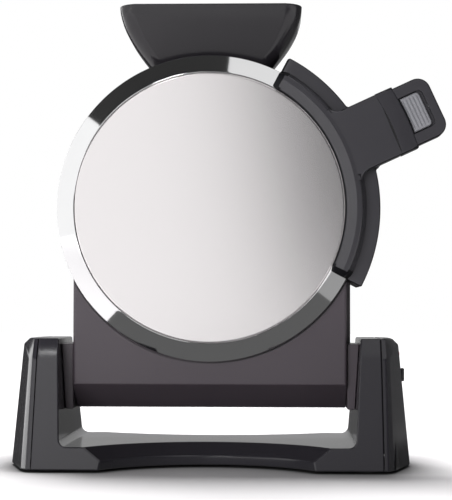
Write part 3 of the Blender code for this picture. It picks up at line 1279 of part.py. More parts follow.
def make_spring():
    """The coil that pushes the latch back in, between the slider and the paddle's tip."""
    start = BUTTON_OUTER + SLIDER_PAST_BUTTON + GAP + SPRING_WIRE_RADIUS
    end = PADDLE_TIP_RADIUS - WALL - GAP - SPRING_WIRE_RADIUS
    depth = (SLIDER_FRONT_DEPTH + SLIDER_BACK_DEPTH) / 2
    curve = bpy.data.curves.new("latch_spring", "CURVE")
    curve.dimensions = "3D"
    curve.bevel_depth = SPRING_WIRE_RADIUS
    curve.bevel_resolution = 0
    curve.use_fill_caps = True
    spline = curve.splines.new("POLY")
    count = SPRING_TURNS * SPRING_TURN_POINTS + 1
    spline.points.add(count - 1)
    for i, point in enumerate(spline.points):
        angle = math.tau * i / SPRING_TURN_POINTS
        along = start + (end - start) * i / (count - 1)
        y = SPRING_RADIUS * math.cos(angle) - depth
        point.co = (along, y, SPRING_RADIUS * math.sin(angle), 1)
    obj = as_cutter(bpy.data.objects.new("latch_spring", curve))
    obj.matrix_world = HANDLE_FRAME
    return as_piece(obj, "plain_steel")


def pivot(name, place, parent=None):
    """An empty on a joint's axis."""
    empty = bpy.data.objects.new(name, None)
    PIECES.objects.link(empty)
    empty.matrix_world = Matrix.Translation(place)
    if parent:
        carry(parent, [empty])
    return empty


def carry(empty, pieces):
    """Parent pieces, with their cutters, to a joint's empty without moving them."""
    for piece in pieces:
        tools = [m.object for m in piece.modifiers if m.type == "BOOLEAN"]
        for obj in [piece, *tools]:
            obj.parent = empty
            obj.matrix_parent_inverse = Matrix.Translation(empty.matrix_world.translation).inverted()
        nested = [tool for tool in tools if tool.modifiers]
        if nested:
            carry(empty, nested)


def make_base():
    make_base_shell()
    make_side_cover(-1)
    make_side_cover(1)
    make_bottom_cover()
    make_bottom_screws()
    make_feet()
    make_hinge_pins()
    make_ear_screws()
    make_cord_gland()
    make_control_unit()
    make_lenses()


def make_rear_half():
    make_rear_housing()
    make_bezel_ring("rear_bezel_ring", REAR)
    make_cover_plate("rear_cover_plate", REAR)
    make_cooking_plate("rear_cooking_plate", REAR)
    make_plate_rim("rear_plate_rim", REAR)
    make_plate_screws("rear", REAR)
    make_element("rear_heating_element", REAR)
    make_heat_shield("rear_heat_shield", REAR)
    make_thermostat()
    make_fuse()
    make_spout()
    make_rear_bracket()
    make_catch()


def make_front_half():
    """The folding half, carried by an empty on the hinge axis."""
    return [
        make_front_housing(),
        make_bezel_ring("front_bezel_ring", FRONT),
        make_cover_plate("front_cover_plate", FRONT),
        make_cooking_plate("front_cooking_plate", FRONT),
        make_plate_rim("front_plate_rim", FRONT),
        *make_plate_screws("front", FRONT),
        make_element("front_heating_element", FRONT),
        make_heat_shield("front_heat_shield", FRONT),
        make_front_bracket(),
        make_handle_back_cover(),
        make_spring(),
    ]


def main():
    make_base()
    make_rear_half()
    front_pivot = pivot("front_half_pivot", (0, 0, HINGE_Z))
    carry(front_pivot, make_front_half())
    latch_place = HANDLE_FRAME @ Vector((BUTTON_INNER, -BRACKET_FRONT_DEPTH, 0))
    latch_pivot = pivot("latch_slide", latch_place, front_pivot)
    carry(latch_pivot, [make_button(), make_hook()])
    knob_slide = pivot("knob_slide", (SEAM_X, 0, KNOB_Z))
    carry(knob_slide, [make_knob()])


clear_scene()
PIECES = new_collection("belgian_waffle_maker")
CUTTERS = new_collection("cutters")
main()
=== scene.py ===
"""Visual model of the upright waffle maker: fine shells, finishes, studio and camera.

Metres, +Z up, front towards -Y. Every piece is made where the frame has it, and rides on the
frame's bodies: base, front_half, latch and knob.
"""
import json
import math

import bmesh
import bpy
from mathutils import Matrix, Vector


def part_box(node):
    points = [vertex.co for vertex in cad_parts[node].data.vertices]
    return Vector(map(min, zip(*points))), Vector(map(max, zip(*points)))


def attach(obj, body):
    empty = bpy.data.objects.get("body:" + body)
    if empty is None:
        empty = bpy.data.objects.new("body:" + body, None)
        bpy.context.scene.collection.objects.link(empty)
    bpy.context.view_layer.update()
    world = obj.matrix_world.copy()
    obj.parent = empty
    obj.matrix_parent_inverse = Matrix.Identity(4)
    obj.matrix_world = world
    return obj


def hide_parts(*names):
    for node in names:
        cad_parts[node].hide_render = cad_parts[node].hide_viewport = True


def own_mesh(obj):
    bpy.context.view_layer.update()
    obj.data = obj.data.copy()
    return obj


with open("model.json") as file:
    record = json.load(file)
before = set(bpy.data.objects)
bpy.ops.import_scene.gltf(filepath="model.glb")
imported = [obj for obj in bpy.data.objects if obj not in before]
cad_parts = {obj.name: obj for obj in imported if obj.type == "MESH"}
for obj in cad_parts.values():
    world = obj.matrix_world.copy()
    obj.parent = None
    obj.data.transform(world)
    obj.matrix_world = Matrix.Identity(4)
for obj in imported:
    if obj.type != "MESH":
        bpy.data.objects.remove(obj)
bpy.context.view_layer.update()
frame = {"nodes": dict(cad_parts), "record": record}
scene = bpy.context.scene
SLOT_OF = {part["node"]: part["material_slot"] for part in frame["record"]["subparts"]}

FRONT, REAR = -1, 1
HALF_NAME = {FRONT: "front", REAR: "rear"}
HALF_BODY = {FRONT: "front_half", REAR: "base"}

# Hinge, head and plates
HINGE_Z = 0.0570
BARREL_RADIUS = 0.0122
COVE_RADIUS = 0.0128
HEAD_Z = 0.2023
HEAD_CENTRE = Matrix.Translation((0, 0, HEAD_Z))
PARTING = 0.00006
DRUM_RADIUS = 0.1170
DRUM_BORE = 0.1145
DRUM_DEPTH = 0.0352
PANEL_DEPTH = 0.0322
PANEL_HALF_WIDTH = 0.1073
REAR_PANEL_HALF_WIDTH = 0.1113
CHIN_Z = 0.0645
NOSE_RADIUS = 0.1040
NOSE_DEPTH = 0.0431
RING_RADIUS = 0.1200
RING_HOLE = 0.1055
RING_BACK = 0.0355
RING_FACE = 0.0448
RING_BOW = 0.00016
DISC_EDGE_DEPTH = 0.0436
DISC_CROWN = 0.0005
DISC_THICKNESS = 0.0008
CASING_WALL = 0.0025
EAR_TOP_Z = 0.0960
EAR_HALF_DEPTH = 0.0260
THROAT_NOTCH = (0.0325, 0.0095)

# Base
BASE_HALF_DEPTH = 0.0780
SHOULDER_HALF_DEPTH = 0.0498
TOWER_TOP_HALF_DEPTH = 0.0400
SKIRT_Z = 0.0020
SHOULDER_Z = 0.0848
TOWER_TOP_Z = 0.1005
BAR_TOP_Z = 0.0188
TOWER_FOOT_X = 0.1123
TOWER_TOP_X = 0.1175
SEAM_X = 0.1330
SHELL_WALL = 0.0025
FRONT_WAIST_Y = -0.1263
REAR_WAIST_Y = 0.0470
REAR_WAIST_RADIUS = 0.1760
COVER_WIDTH_LOW = 0.0240
COVER_WIDTH_HIGH = 0.0150
COVER_EDGE = 0.0034
COVER_CHAMFER = 0.0047

# Slide knob on the right tower
KNOB_Z = 0.0713
KNOB_STEM_HALF = 0.0020
KNOB_PROUD = 0.0026
GROOVE_PITCH = 0.0016
SLOT_HALF_LENGTH = 0.0125
SLOT_HALF_HEIGHT = 0.0025
LENS_RADIUS = 0.0026
LENS_HOLE_RADIUS = 0.0030
LENS_Y = 0.0090
LENS_Z = 0.0875

# Handle: a frame with local X along the handle, and radii about the disc centre
HANDLE_ANGLE = math.radians(24.7)
HANDLE_FRAME = HEAD_CENTRE @ Matrix.Rotation(-HANDLE_ANGLE, 4, "Y")
ARC_START = math.radians(-27.5)
ARC_END = math.radians(62.5)

# Distances and angles below which points and faces count as one, and above which a corner is sharp
SAME_POINT = 0.00002
FLAT_HULL = math.radians(0.2)
FLAT = math.radians(0.3)
SHARP = math.radians(42)


# ---- Tools for shapes


def as_mesh(name, shape):
    mesh = bpy.data.meshes.new(name)
    shape.to_mesh(mesh)
    shape.free()
    return mesh


def new_mesh(name, shape):
    """A mesh from a shape whose faces are turned outwards."""
    bmesh.ops.recalc_face_normals(shape, faces=shape.faces[:])
    return as_mesh(name, shape)


def placed(name, data):
    """A new object in the scene."""
    made = bpy.data.objects.new(name, data)
    scene.collection.objects.link(made)
    return made


def half_place(facing, radius, depth, angle):
    """A point of one half of the head, by radius and angle about the disc's axis and by depth."""
    return Vector((radius * math.cos(angle), facing * depth, HEAD_Z + radius * math.sin(angle)))


def turned(name, profile, facing, sides=160):
    """A solid turned about the disc's axis from (radius, depth) points."""
    shape = bmesh.new()
    rings = []
    for radius, depth in profile:
        if radius == 0:
            rings.append([shape.verts.new(half_place(facing, 0, depth, 0))])
            continue
        turns = [math.tau * i / sides for i in range(sides)]
        rings.append([shape.verts.new(half_place(facing, radius, depth, turn)) for turn in turns])
    closed = profile[0][0] > 0 or profile[-1][0] > 0
    pairs = list(zip(rings, rings[1:])) + ([(rings[-1], rings[0])] if closed else [])
    for a, b in pairs:
        for i in range(sides):
            j = (i + 1) % sides
            corners = [a[i % len(a)], a[j % len(a)], b[j % len(b)], b[i % len(b)]]
            unique = [v for k, v in enumerate(corners) if v not in corners[:k]]
            if len(unique) > 2:
                shape.faces.new(unique)
    return new_mesh(name, shape)


def rounded(points, radii, steps):
    """A closed outline whose corners are arcs."""
    outline = []
    for i, (corner, radius) in enumerate(zip(points, radii)):
        here = Vector(corner)
        if radius <= 0:
            outline.append(tuple(here))
            continue
        before = (Vector(points[i - 1]) - here).normalized()
        after = (Vector(points[(i + 1) % len(points)]) - here).normalized()
        half = before.angle(after) / 2
        start = here + before * (radius / math.tan(half))
        end = here + after * (radius / math.tan(half))
        middle = here + (before + after).normalized() * (radius / math.sin(half))
        first, last = (start - middle).normalized(), (end - middle).normalized()
        shares = [step / steps for step in range(steps + 1)]
        outline += [tuple(middle + first.slerp(last, share) * radius) for share in shares]
    return outline


def slab(name, outline, low, high, place):
    """A flat outline between two heights of a frame's local Z."""
    shape = bmesh.new()
    lower = [shape.verts.new(place @ Vector((x, y, low))) for x, y in outline]
    upper = [shape.verts.new(place @ Vector((x, y, high))) for x, y in outline]
    shape.faces.new(lower)
    shape.faces.new(upper)
    for i in range(len(outline)):
        shape.faces.new((lower[i - 1], lower[i], upper[i], upper[i - 1]))
    return new_mesh(name, shape)


def block(name, low, high, place=Matrix()):
    """A box between two corners in a frame."""
    outline = [(low[0], low[1]), (high[0], low[1]), (high[0], high[1]), (low[0], high[1])]
    return slab(name, outline, low[2], high[2], place)


def arc(radius, start, end, steps, x=0, y=0):
    """Points along an arc about (x, y), with both ends."""
    turns = [start + (end - start) * i / steps for i in range(steps + 1)]
    return [(x + radius * math.cos(turn), y + radius * math.sin(turn)) for turn in turns]


def circle(radius, sides):
    return arc(radius, 0, math.tau, sides)[:-1]


def rod(name, start, end, radius, sides):
    start, end = Vector(start), Vector(end)
    turn = (end - start).to_track_quat("Z", "Y").to_matrix().to_4x4()
    seat = Matrix.Translation(start) @ turn
    return slab(name, circle(radius, sides), 0, (end - start).length, seat)


def convex(name, points):
    shape = bmesh.new()
    verts = [shape.verts.new(point) for point in points]
    made = bmesh.ops.convex_hull(shape, input=verts)
    loose = [v for v in set(made["geom_interior"] + made["geom_unused"]) if v.is_valid]
    bmesh.ops.delete(shape, geom=loose, context="VERTS")
    bmesh.ops.dissolve_limit(shape, angle_limit=FLAT_HULL, verts=shape.verts[:], edges=shape.edges[:])
    return new_mesh(name, shape)


def skin(name, sections):
    """A solid through closed sections of equal point counts."""
    shape = bmesh.new()
    rings = [[shape.verts.new(point) for point in section] for section in sections]
    for below, above in zip(rings, rings[1:]):
        for i in range(len(below)):
            shape.faces.new((below[i - 1], below[i], above[i], above[i - 1]))
    shape.faces.new(rings[0])
    shape.faces.new(rings[-1])
    return new_mesh(name, shape)


def combined(mesh, operation, *tools):
    """The mesh after Booleans with other meshes, with the tools gone."""
    body = placed("body", mesh)
    helpers = []
    for tool in tools:
        helper = placed("tool", tool)
        helpers.append(helper)
        modifier = body.modifiers.new("shape", "BOOLEAN")
        modifier.operation = operation
        modifier.solver = "EXACT"
        modifier.object = helper
    bpy.context.view_layer.update()
    result = body.evaluated_get(bpy.context.evaluated_depsgraph_get())
    made = bpy.data.meshes.new_from_object(result)
    made.name = mesh.name
    for obj in [body, *helpers]:
        bpy.data.objects.remove(obj)
    return made


def cut(mesh, *tools):
    return combined(mesh, "DIFFERENCE", *tools)


def joined(mesh, *tools):
    return combined(mesh, "UNION", *tools)


def softened(mesh, width, segments, angle=25, where=None):
    """The mesh with its corners rounded over, where a test on an edge's middle allows it."""
    shape = bmesh.new()
    shape.from_mesh(mesh)
    bmesh.ops.remove_doubles(shape, verts=shape.verts[:], dist=SAME_POINT)
    bmesh.ops.dissolve_limit(shape, angle_limit=FLAT, verts=shape.verts[:], edges=shape.edges[:])
    limit = math.radians(angle)
    edges = []
    for edge in shape.edges:
        if len(edge.link_faces) != 2 or edge.calc_face_angle(0) < limit:
            continue
        if where is None or where((edge.verts[0].co + edge.verts[1].co) / 2):
            edges.append(edge)
    bmesh.ops.bevel(
        shape, geom=edges, offset=width, offset_type="OFFSET", segments=segments, profile=0.5,
        affect="EDGES", clamp_overlap=False,
    )
    bmesh.ops.remove_doubles(shape, verts=shape.verts[:], dist=SAME_POINT / 2)
    return new_mesh(mesh.name, shape)


def merged(name, *meshes):
    """Several meshes as one."""
    shape = bmesh.new()
    for mesh in meshes:
        shape.from_mesh(mesh)
    return as_mesh(name, shape)


def fit_piece(name, mesh, body, *nodes, finish=None, corner=None, weighted=True):
    """Show a mesh in place of its nodes of the frame, in their slot's finish.

    A test of a face may pick the rounded corners, which get the painted shade finish, a near-black
    copy for their dark reflections.
    """
    piece = placed(name, mesh)
    slot = SLOT_OF[nodes[0]]
    mesh.materials.clear()
    mesh.materials.append(finish or FINISH[slot])
    if corner:
        mesh.materials.append(PAINTED_SHADE_FINISH)
        for face in mesh.polygons:
            if corner(face):
                face.material_index = 1
    mesh.shade_smooth()
    mesh.set_sharp_from_angle(angle=SHARP)
    if weighted:
        normals = piece.modifiers.new("even_normals", "WEIGHTED_NORMAL")
        normals.keep_sharp = True
    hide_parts(*nodes)
    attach(piece, body)
    return piece


# ---- Finishes

# Painted shade: how dark the corner lines make a moulding's colour
CORNER_SHADE = 0.22
GRAIN_DEPTH = 0.0001
LINE_DEPTH = 0.00005


def join(source, socket):
    """Link an output to an input of the same node tree."""
    socket.id_data.links.new(source, socket)


def set_inputs(node, values):
    for label, value in values.items():
        node.inputs[label.replace("_", " ")].default_value = value
    return node


def add(nodes, kind, **values):
    """A new node with some of its inputs set."""
    return set_inputs(nodes.new(kind), values)


def node_group(name, inputs, outputs):
    group = bpy.data.node_groups.new(name, "ShaderNodeTree")
    for label, value in inputs.items():
        socket = group.interface.new_socket(label, in_out="INPUT", socket_type="NodeSocketFloat")
        socket.default_value = value
    for label in outputs:
        group.interface.new_socket(label, in_out="OUTPUT", socket_type="NodeSocketFloat")
    return group, group.nodes.new("NodeGroupInput"), group.nodes.new("NodeGroupOutput")


def math_node(nodes, operation, a, b):
    made = nodes.new("ShaderNodeMath")
    made.operation = operation
    for socket, value in zip(made.inputs, (a, b)):
        if isinstance(value, (int, float)):
            socket.default_value = value
        else:
            join(value, socket)
    return made.outputs[0]


def mixed(nodes, share, first, second):
    """A mix of two shaders."""
    mix = nodes.new("ShaderNodeMixShader")
    for socket, source in zip(mix.inputs, (share, first, second)):
        join(source, socket)
    return mix.outputs[0]


def moulded_grain():
    """Spark-eroded grain of a moulding, with broad faint unevenness."""
    group, given, out = node_group(
        "moulded_grain", {"Grain Scale": 1400.0, "Broad Scale": 14.0}, ["Grain Height", "Unevenness"]
    )
    nodes = group.nodes
    where = nodes.new("ShaderNodeTexCoord")
    for i, (detail, roughness) in enumerate(((2.0, 0.6), (3.0, 0.5))):
        texture = add(nodes, "ShaderNodeTexNoise", Detail=detail, Roughness=roughness)
        join(where.outputs["Object"], texture.inputs["Vector"])
        join(given.outputs[i], texture.inputs["Scale"])
        join(texture.outputs["Fac"], out.inputs[i])
    return group


def painted_corner_shade():
    """Painted shade: thin dark lines along a piece's corners, for the dark reflections they catch."""
    widths = {"Corner Width": 0.0009, "Contrast": 9.0}
    group, given, out = node_group("painted_corner_shade", widths, ["Corner"])
    nodes = group.nodes
    soft = nodes.new("ShaderNodeBevel")
    soft.samples = 6
    join(given.outputs["Corner Width"], soft.inputs["Radius"])
    surface = nodes.new("ShaderNodeNewGeometry")
    match = nodes.new("ShaderNodeVectorMath")
    match.operation = "DOT_PRODUCT"
    join(soft.outputs[0], match.inputs[0])
    join(surface.outputs["Normal"], match.inputs[1])
    apart = math_node(nodes, "SUBTRACT", 1.0, match.outputs["Value"])
    strong = math_node(nodes, "MULTIPLY", apart, given.outputs["Contrast"])
    join(math_node(nodes, "MINIMUM", strong, 1.0), out.inputs["Corner"])
    return group


def brush_lines():
    """Long fine upright scratches of a brushed sheet."""
    group, given, out = node_group(
        "brush_lines", {"Line Scale": 900.0, "Line Length": 0.02}, ["Line Height", "Line Tone"]
    )
    nodes = group.nodes
    scale, length = given.outputs["Line Scale"], given.outputs["Line Length"]
    where = nodes.new("ShaderNodeTexCoord")
    split = nodes.new("ShaderNodeSeparateXYZ")
    join(where.outputs["Object"], split.inputs[0])
    along_scale = math_node(nodes, "MULTIPLY", scale, length)
    stretched = nodes.new("ShaderNodeCombineXYZ")
    for axis, factor in (("X", scale), ("Z", along_scale)):
        place = math_node(nodes, "MULTIPLY", split.outputs[axis], factor)
        join(place, stretched.inputs[axis])
    lines = add(nodes, "ShaderNodeTexNoise", Scale=1.0, Detail=3.0, Roughness=0.65)
    join(stretched.outputs[0], lines.inputs["Vector"])
    for label in ("Line Height", "Line Tone"):
        join(lines.outputs["Fac"], out.inputs[label])
    return group


def finish_material(name):
    material = bpy.data.materials.new(name)
    material.use_nodes = True
    nodes = material.node_tree.nodes
    return material, nodes, nodes["Principled BSDF"]


def place_group(nodes, group, values):
    made = nodes.new("ShaderNodeGroup")
    made.node_tree = group
    return set_inputs(made, values)


def tinted(nodes, share, low, high):
    """A colour between two others, of which the low one may come from a node."""
    tone = nodes.new("ShaderNodeMix")
    tone.data_type = "RGBA"
    if isinstance(low, tuple):
        tone.inputs[6].default_value = (*low, 1)
    else:
        join(low, tone.inputs[6])
    tone.inputs[7].default_value = (*high, 1)
    join(share, tone.inputs[0])
    return tone.outputs[2]


def finished(name, group, values, colour, shades, roughs, relief, corner=0, **levels):
    """A material whose relief follows a group's first output, and tone and roughness its second.

    The shades multiply the colour, and corner is the width of the painted shade: dark lines along
    corners.
    """
    material, nodes, shader = finish_material(name)
    height, share = place_group(nodes, group, values).outputs[:2]
    tones = [tuple(min(1.0, c * shade) for c in colour) for shade in shades]
    tone = tinted(nodes, share, *tones)
    # Painted shade: dark lines along the corners
    if corner:
        lines = place_group(nodes, PAINTED_SHADE_LINES, {"Corner Width": corner})
        dark = tuple(c * CORNER_SHADE for c in colour)
        tone = tinted(nodes, lines.outputs["Corner"], tone, dark)
    join(tone, shader.inputs["Base Color"])
    rough = add(nodes, "ShaderNodeMapRange", To_Min=roughs[0], To_Max=roughs[1])
    join(share, rough.inputs["Value"])
    join(rough.outputs[0], shader.inputs["Roughness"])
    set_inputs(shader, levels)
    bump = add(nodes, "ShaderNodeBump", Strength=relief[0], Distance=relief[1])
    join(height, bump.inputs["Height"])
    join(bump.outputs[0], shader.inputs["Normal"])
    return material


def moulding(name, colour, roughness, grain=0.12, scale=1400.0, spec=0.5, vary=0.12, corner=0):
    return finished(
        name, GRAIN, {"Grain Scale": scale}, colour, (1 - vary, 1 + vary),
        (roughness - 0.04, roughness + 0.04), (grain, GRAIN_DEPTH), corner, Specular_IOR_Level=spec,
    )


def sheet_metal(name, colour, roughness, line_scale, strength, change=0.03):
    """Metal with fine upright lines."""
    return finished(
        name, LINES, {"Line Scale": line_scale}, colour, (1 - change, 1 + change),
        (roughness - 0.03, roughness + 0.03), (strength, LINE_DEPTH), Metallic=1.0,
    )


def plain_metal(name, colour, roughness, grain=0.05, metallic=1.0):
    return finished(
        name, GRAIN, {"Grain Scale": 600.0, "Broad Scale": 40.0}, colour, (0.94, 1),
        (roughness * 0.9, roughness * 1.1), (grain, LINE_DEPTH), Metallic=metallic,
    )


GRAIN = moulded_grain()
PAINTED_SHADE_LINES = painted_corner_shade()
LINES = brush_lines()
FINISH = {
    # The corner widths paint shade lines along the mouldings' corners
    "base_plastic": moulding("satin_black_moulding", (0.0170, 0.0160, 0.0195), 0.18, corner=0.0008),
    "housing_plastic": moulding("panel_black_moulding", (0.045, 0.037, 0.044), 0.35, corner=0.0008),
    "handle_plastic": moulding("handle_black_moulding", (0.028, 0.027, 0.031), 0.25, corner=0.0005),
    "button_plastic": moulding("button_grey_moulding", (0.150, 0.150, 0.163), 0.45),
    "rubber": moulding("foot_rubber", (0.018, 0.018, 0.018), 0.75, grain=0.3, scale=700.0),
    "bright_steel": plain_metal("polished_steel", (0.86, 0.86, 0.865), 0.06, grain=0.01),
    "brushed_steel": sheet_metal(
        "brushed_steel_sheet", (0.85, 0.82, 0.825), 0.21, 4200.0, 0.02, 0.015
    ),
    "plain_steel": plain_metal("zinc_plated_steel", (0.52, 0.52, 0.54), 0.3),
    "coated_aluminium": plain_metal("release_coating", (0.045, 0.043, 0.041), 0.42, 0.2, 0.1),
    "bare_aluminium": sheet_metal("pressed_aluminium", (0.66, 0.66, 0.67), 0.36, 1200.0, 0.1),
    "ceramic": moulding("ceramic_body", (0.72, 0.69, 0.63), 0.55, vary=0.03),
    "red_lens": moulding("red_lamp_lens", (0.45, 0.02, 0.015), 0.15, grain=0.0),
    "green_lens": moulding("green_lamp_lens", (0.02, 0.3, 0.05), 0.15, grain=0.0),
}
# A darker copy of the black moulding for the spout: painted shade against the light that falls on it
SPOUT_FINISH = moulding("spout_black_moulding", (0.011, 0.010, 0.012), 0.18, corner=0.0009)
# Painted shade: a near-black copy of the moulding for rounded corners, for the dark reflections they
# catch
PAINTED_SHADE_FINISH = moulding("painted_shade_corner", (0.004, 0.004, 0.005), 0.4, spec=0.15)

# The nodes that stay as they are take their slots' finishes
for node_name, slot_name in SLOT_OF.items():
    node = frame["nodes"][node_name]
    node.data.materials.clear()
    node.data.materials.append(FINISH[slot_name])


# ---- Head


def fit_turned(facing, name, profile, node):
    """Fit a turned piece to one half of the head."""
    side = HALF_NAME[facing]
    mesh = turned(f"{side}_{name}", profile, facing, 240)
    fit_piece(f"{side}_{name}", mesh, HALF_BODY[facing], f"{side}_{node}", weighted=False)


def bezel_ring(facing):
    """The bright ring: a thin outer lip, a long sloping face and a rolled inner edge."""
    outer, hole = RING_RADIUS, RING_HOLE
    start = outer - 0.0005
    run = start - (hole + 0.0009)
    face = []
    for i in range(9):
        share = i / 8
        bow = RING_BOW * 4 * share * (1 - share)
        radius = start - run * share
        face.append((radius, RING_BACK + 0.0013 + (RING_FACE - RING_BACK - 0.0014) * share + bow))
    roll = [
        (hole + 0.0004, RING_FACE), (hole + 0.0001, RING_FACE - 0.0002), (hole, RING_FACE - 0.0005),
        (hole, NOSE_DEPTH + 0.0002), (hole + 0.0008, NOSE_DEPTH + 0.0002),
    ]
    under = [(outer - 0.0012, RING_BACK + 0.0002), (outer - 0.0010, RING_BACK)]
    lip = [(outer - 0.0002, RING_BACK), (outer, RING_BACK + 0.0003), (outer, RING_BACK + 0.0008),
           (outer - 0.0002, RING_BACK + 0.0011)]
    fit_turned(facing, "polished_ring", lip + face + roll + under, "bezel_ring")


def brushed_disc(facing):
    """The brushed cover, slightly crowned, with a turned-down edge."""
    edge = RING_HOLE - 0.00012
    face = []
    for i in range(13):
        radius = (edge - 0.0018) * i / 12
        crown = DISC_CROWN * (1 - (radius / edge) ** 2)
        face.append((radius, DISC_EDGE_DEPTH + DISC_THICKNESS + crown))
    face.append((edge - 0.0012, DISC_EDGE_DEPTH + 0.00081))
    rim = [
        (edge - 0.0005, DISC_EDGE_DEPTH + 0.00068), (edge - 0.0001, DISC_EDGE_DEPTH + 0.0003),
        (edge, DISC_EDGE_DEPTH - 0.0001), (0, DISC_EDGE_DEPTH - 0.0001),
    ]
    fit_turned(facing, "brushed_disc", face + rim, "cover_plate")


# Outlines seen from the side: local X along world Y, local Y up, and local Z along world X
SIDE_FRAME = Matrix(((0, 0, 1, 0), (1, 0, 0, 0), (0, 1, 0, 0), (0, 0, 0, 1)))


def panel_outline(facing):
    """The square lower part from the side, as (y, z)."""
    face = Vector((-PANEL_DEPTH, CHIN_Z - HINGE_Z))
    start = math.atan2(face.y, face.x) + math.acos(BARREL_RADIUS / face.length)
    top = HEAD_Z + 0.001
    if facing == REAR:
        foot_y = -BARREL_RADIUS * math.cos(start)
        foot_z = HINGE_Z + BARREL_RADIUS * math.sin(start)
        rear_face = [(PANEL_DEPTH, top), (PANEL_DEPTH, CHIN_Z), (foot_y, foot_z)]
        return [(PARTING, top), *rear_face, (PARTING, foot_z)]
    end = math.radians(90) + math.asin(PARTING / BARREL_RADIUS) + math.tau
    barrel = arc(BARREL_RADIUS, start, end, 28, 0, HINGE_Z)
    return [(-PARTING, top), (-PANEL_DEPTH, top), (-PANEL_DEPTH, CHIN_Z)] + barrel


def casing(facing):
    """One half's moulding: the drum behind the ring, and the square panel below it."""
    side = HALF_NAME[facing]
    drum_floor, nose_floor = DRUM_DEPTH - CASING_WALL, NOSE_DEPTH - CASING_WALL
    nose_bore = NOSE_RADIUS - CASING_WALL
    drum = [
        (DRUM_BORE, PARTING), (DRUM_RADIUS - 0.0006, PARTING),
        (DRUM_RADIUS - 0.0002, PARTING + 0.0002), (DRUM_RADIUS, PARTING + 0.0007),
        (DRUM_RADIUS, DRUM_DEPTH), (NOSE_RADIUS, DRUM_DEPTH), (NOSE_RADIUS, NOSE_DEPTH),
        (0, NOSE_DEPTH), (0, nose_floor), (nose_bore, nose_floor), (nose_bore, drum_floor),
        (DRUM_BORE, drum_floor),
    ]
    x, y = THROAT_NOTCH
    notch = block("notch", (-x, -y, HEAD_Z + 0.095), (x, y, HEAD_Z + 0.13))
    shell = cut(turned(f"{side}_drum", drum, facing), notch)
    half = PANEL_HALF_WIDTH if facing == FRONT else REAR_PANEL_HALF_WIDTH
    panel = slab(f"{side}_panel", panel_outline(facing), -half, half, SIDE_FRAME)
    face_y = facing * PANEL_DEPTH

    def on_front_corner(middle):
        return abs(abs(middle.x) - half) < 0.0001 and abs(middle.y - face_y) < 0.0001

    panel = softened(panel, 0.0024, 5, where=on_front_corner)
    panel = softened(panel, 0.0007, 3, where=lambda middle: middle.z < HEAD_Z)
    near, far = sorted((-facing * 0.002, facing * drum_floor))
    room = rod("room", (0, near, HEAD_Z), (0, far, HEAD_Z), DRUM_BORE, 160)
    low, high = PANEL_DEPTH - 0.0020, PANEL_DEPTH + 0.0020
    inner, outer = RING_RADIUS - 0.0008, RING_RADIUS + 0.0012
    groove = [(inner, low), (outer, low), (outer, high), (inner, high)]
    panel = cut(panel, room, turned("ring_groove", groove, facing))
    if facing == REAR:
        reach = half + 0.002
        cove = rod("cove", (-reach, 0, HINGE_Z), (reach, 0, HINGE_Z), COVE_RADIUS, 64)
        panel = cut(panel, cove)
        panel = merged("rear_panel", panel, *[hinge_ear(way) for way in (-1, 1)])
    mesh = merged(f"{side}_casing", shell, panel)
    fit_piece(f"{side}_casing", mesh, HALF_BODY[facing], f"{side}_housing")


def tower_inner_x(z):
    rise = (z - BAR_TOP_Z) / (TOWER_TOP_Z - BAR_TOP_Z)
    return TOWER_FOOT_X + (TOWER_TOP_X - TOWER_FOOT_X) * rise


def hinge_ear(way):
    """An ear of the rear half between the panel and a tower."""
    inner = PANEL_HALF_WIDTH + 0.0004
    points = [
        (way * x, y, z)
        for z in (HINGE_Z - BARREL_RADIUS, EAR_TOP_Z)
        for x in (inner, tower_inner_x(z) - 0.0003)
        for y in (-EAR_HALF_DEPTH, EAR_HALF_DEPTH)
    ]
    return softened(convex("hinge_ear", points), 0.0007, 3)


# ---- Spout

SPOUT_LIP_Z = 0.3634
# From the foot to the lip, as (z, half width, half depth)
SPOUT_ROWS = [
    (0.3000, 0.0346, 0.0150), (0.3080, 0.0421, 0.0182), (0.3138, 0.0473, 0.0203),
    (0.3190, 0.0514, 0.0220), (0.3240, 0.0552, 0.0236), (0.3290, 0.0588, 0.0252),
    (0.3340, 0.0621, 0.0266), (0.3390, 0.0650, 0.0280), (0.3440, 0.0675, 0.0294),
    (0.3490, 0.0695, 0.0308), (0.3540, 0.0710, 0.0321), (0.3585, 0.0720, 0.0333),
    (SPOUT_LIP_Z, 0.0723, 0.0340),
]
SPOUT_HALF_WIDTH = 0.0720
SPOUT_HALF_DEPTH = 0.0340
SPOUT_WALL = 0.0024
SPOUT_CORNER = 0.0130
SPOUT_INNER_CORNER = 0.0106
SPOUT_CROWN = 0.0015
SPOUT_CROWN_FOOT_Z = 0.3500
THROAT_BORE = (0.0296, 0.0066)
THROAT_OUTSIDE = (0.0320, 0.0090)


def spout_row(half_width, half_depth, z, corner, steps=6):
    corner = min(corner, half_depth * 0.75)
    x, y = half_width - corner, half_depth - corner
    row = []
    for quarter, middle in enumerate(((x, y), (-x, y), (-x, -y), (x, -y))):
        start = math.pi / 2 * quarter
        row += arc(corner, start, start + math.pi / 2, steps, *middle)
    return [(x, y, z) for x, y in row]


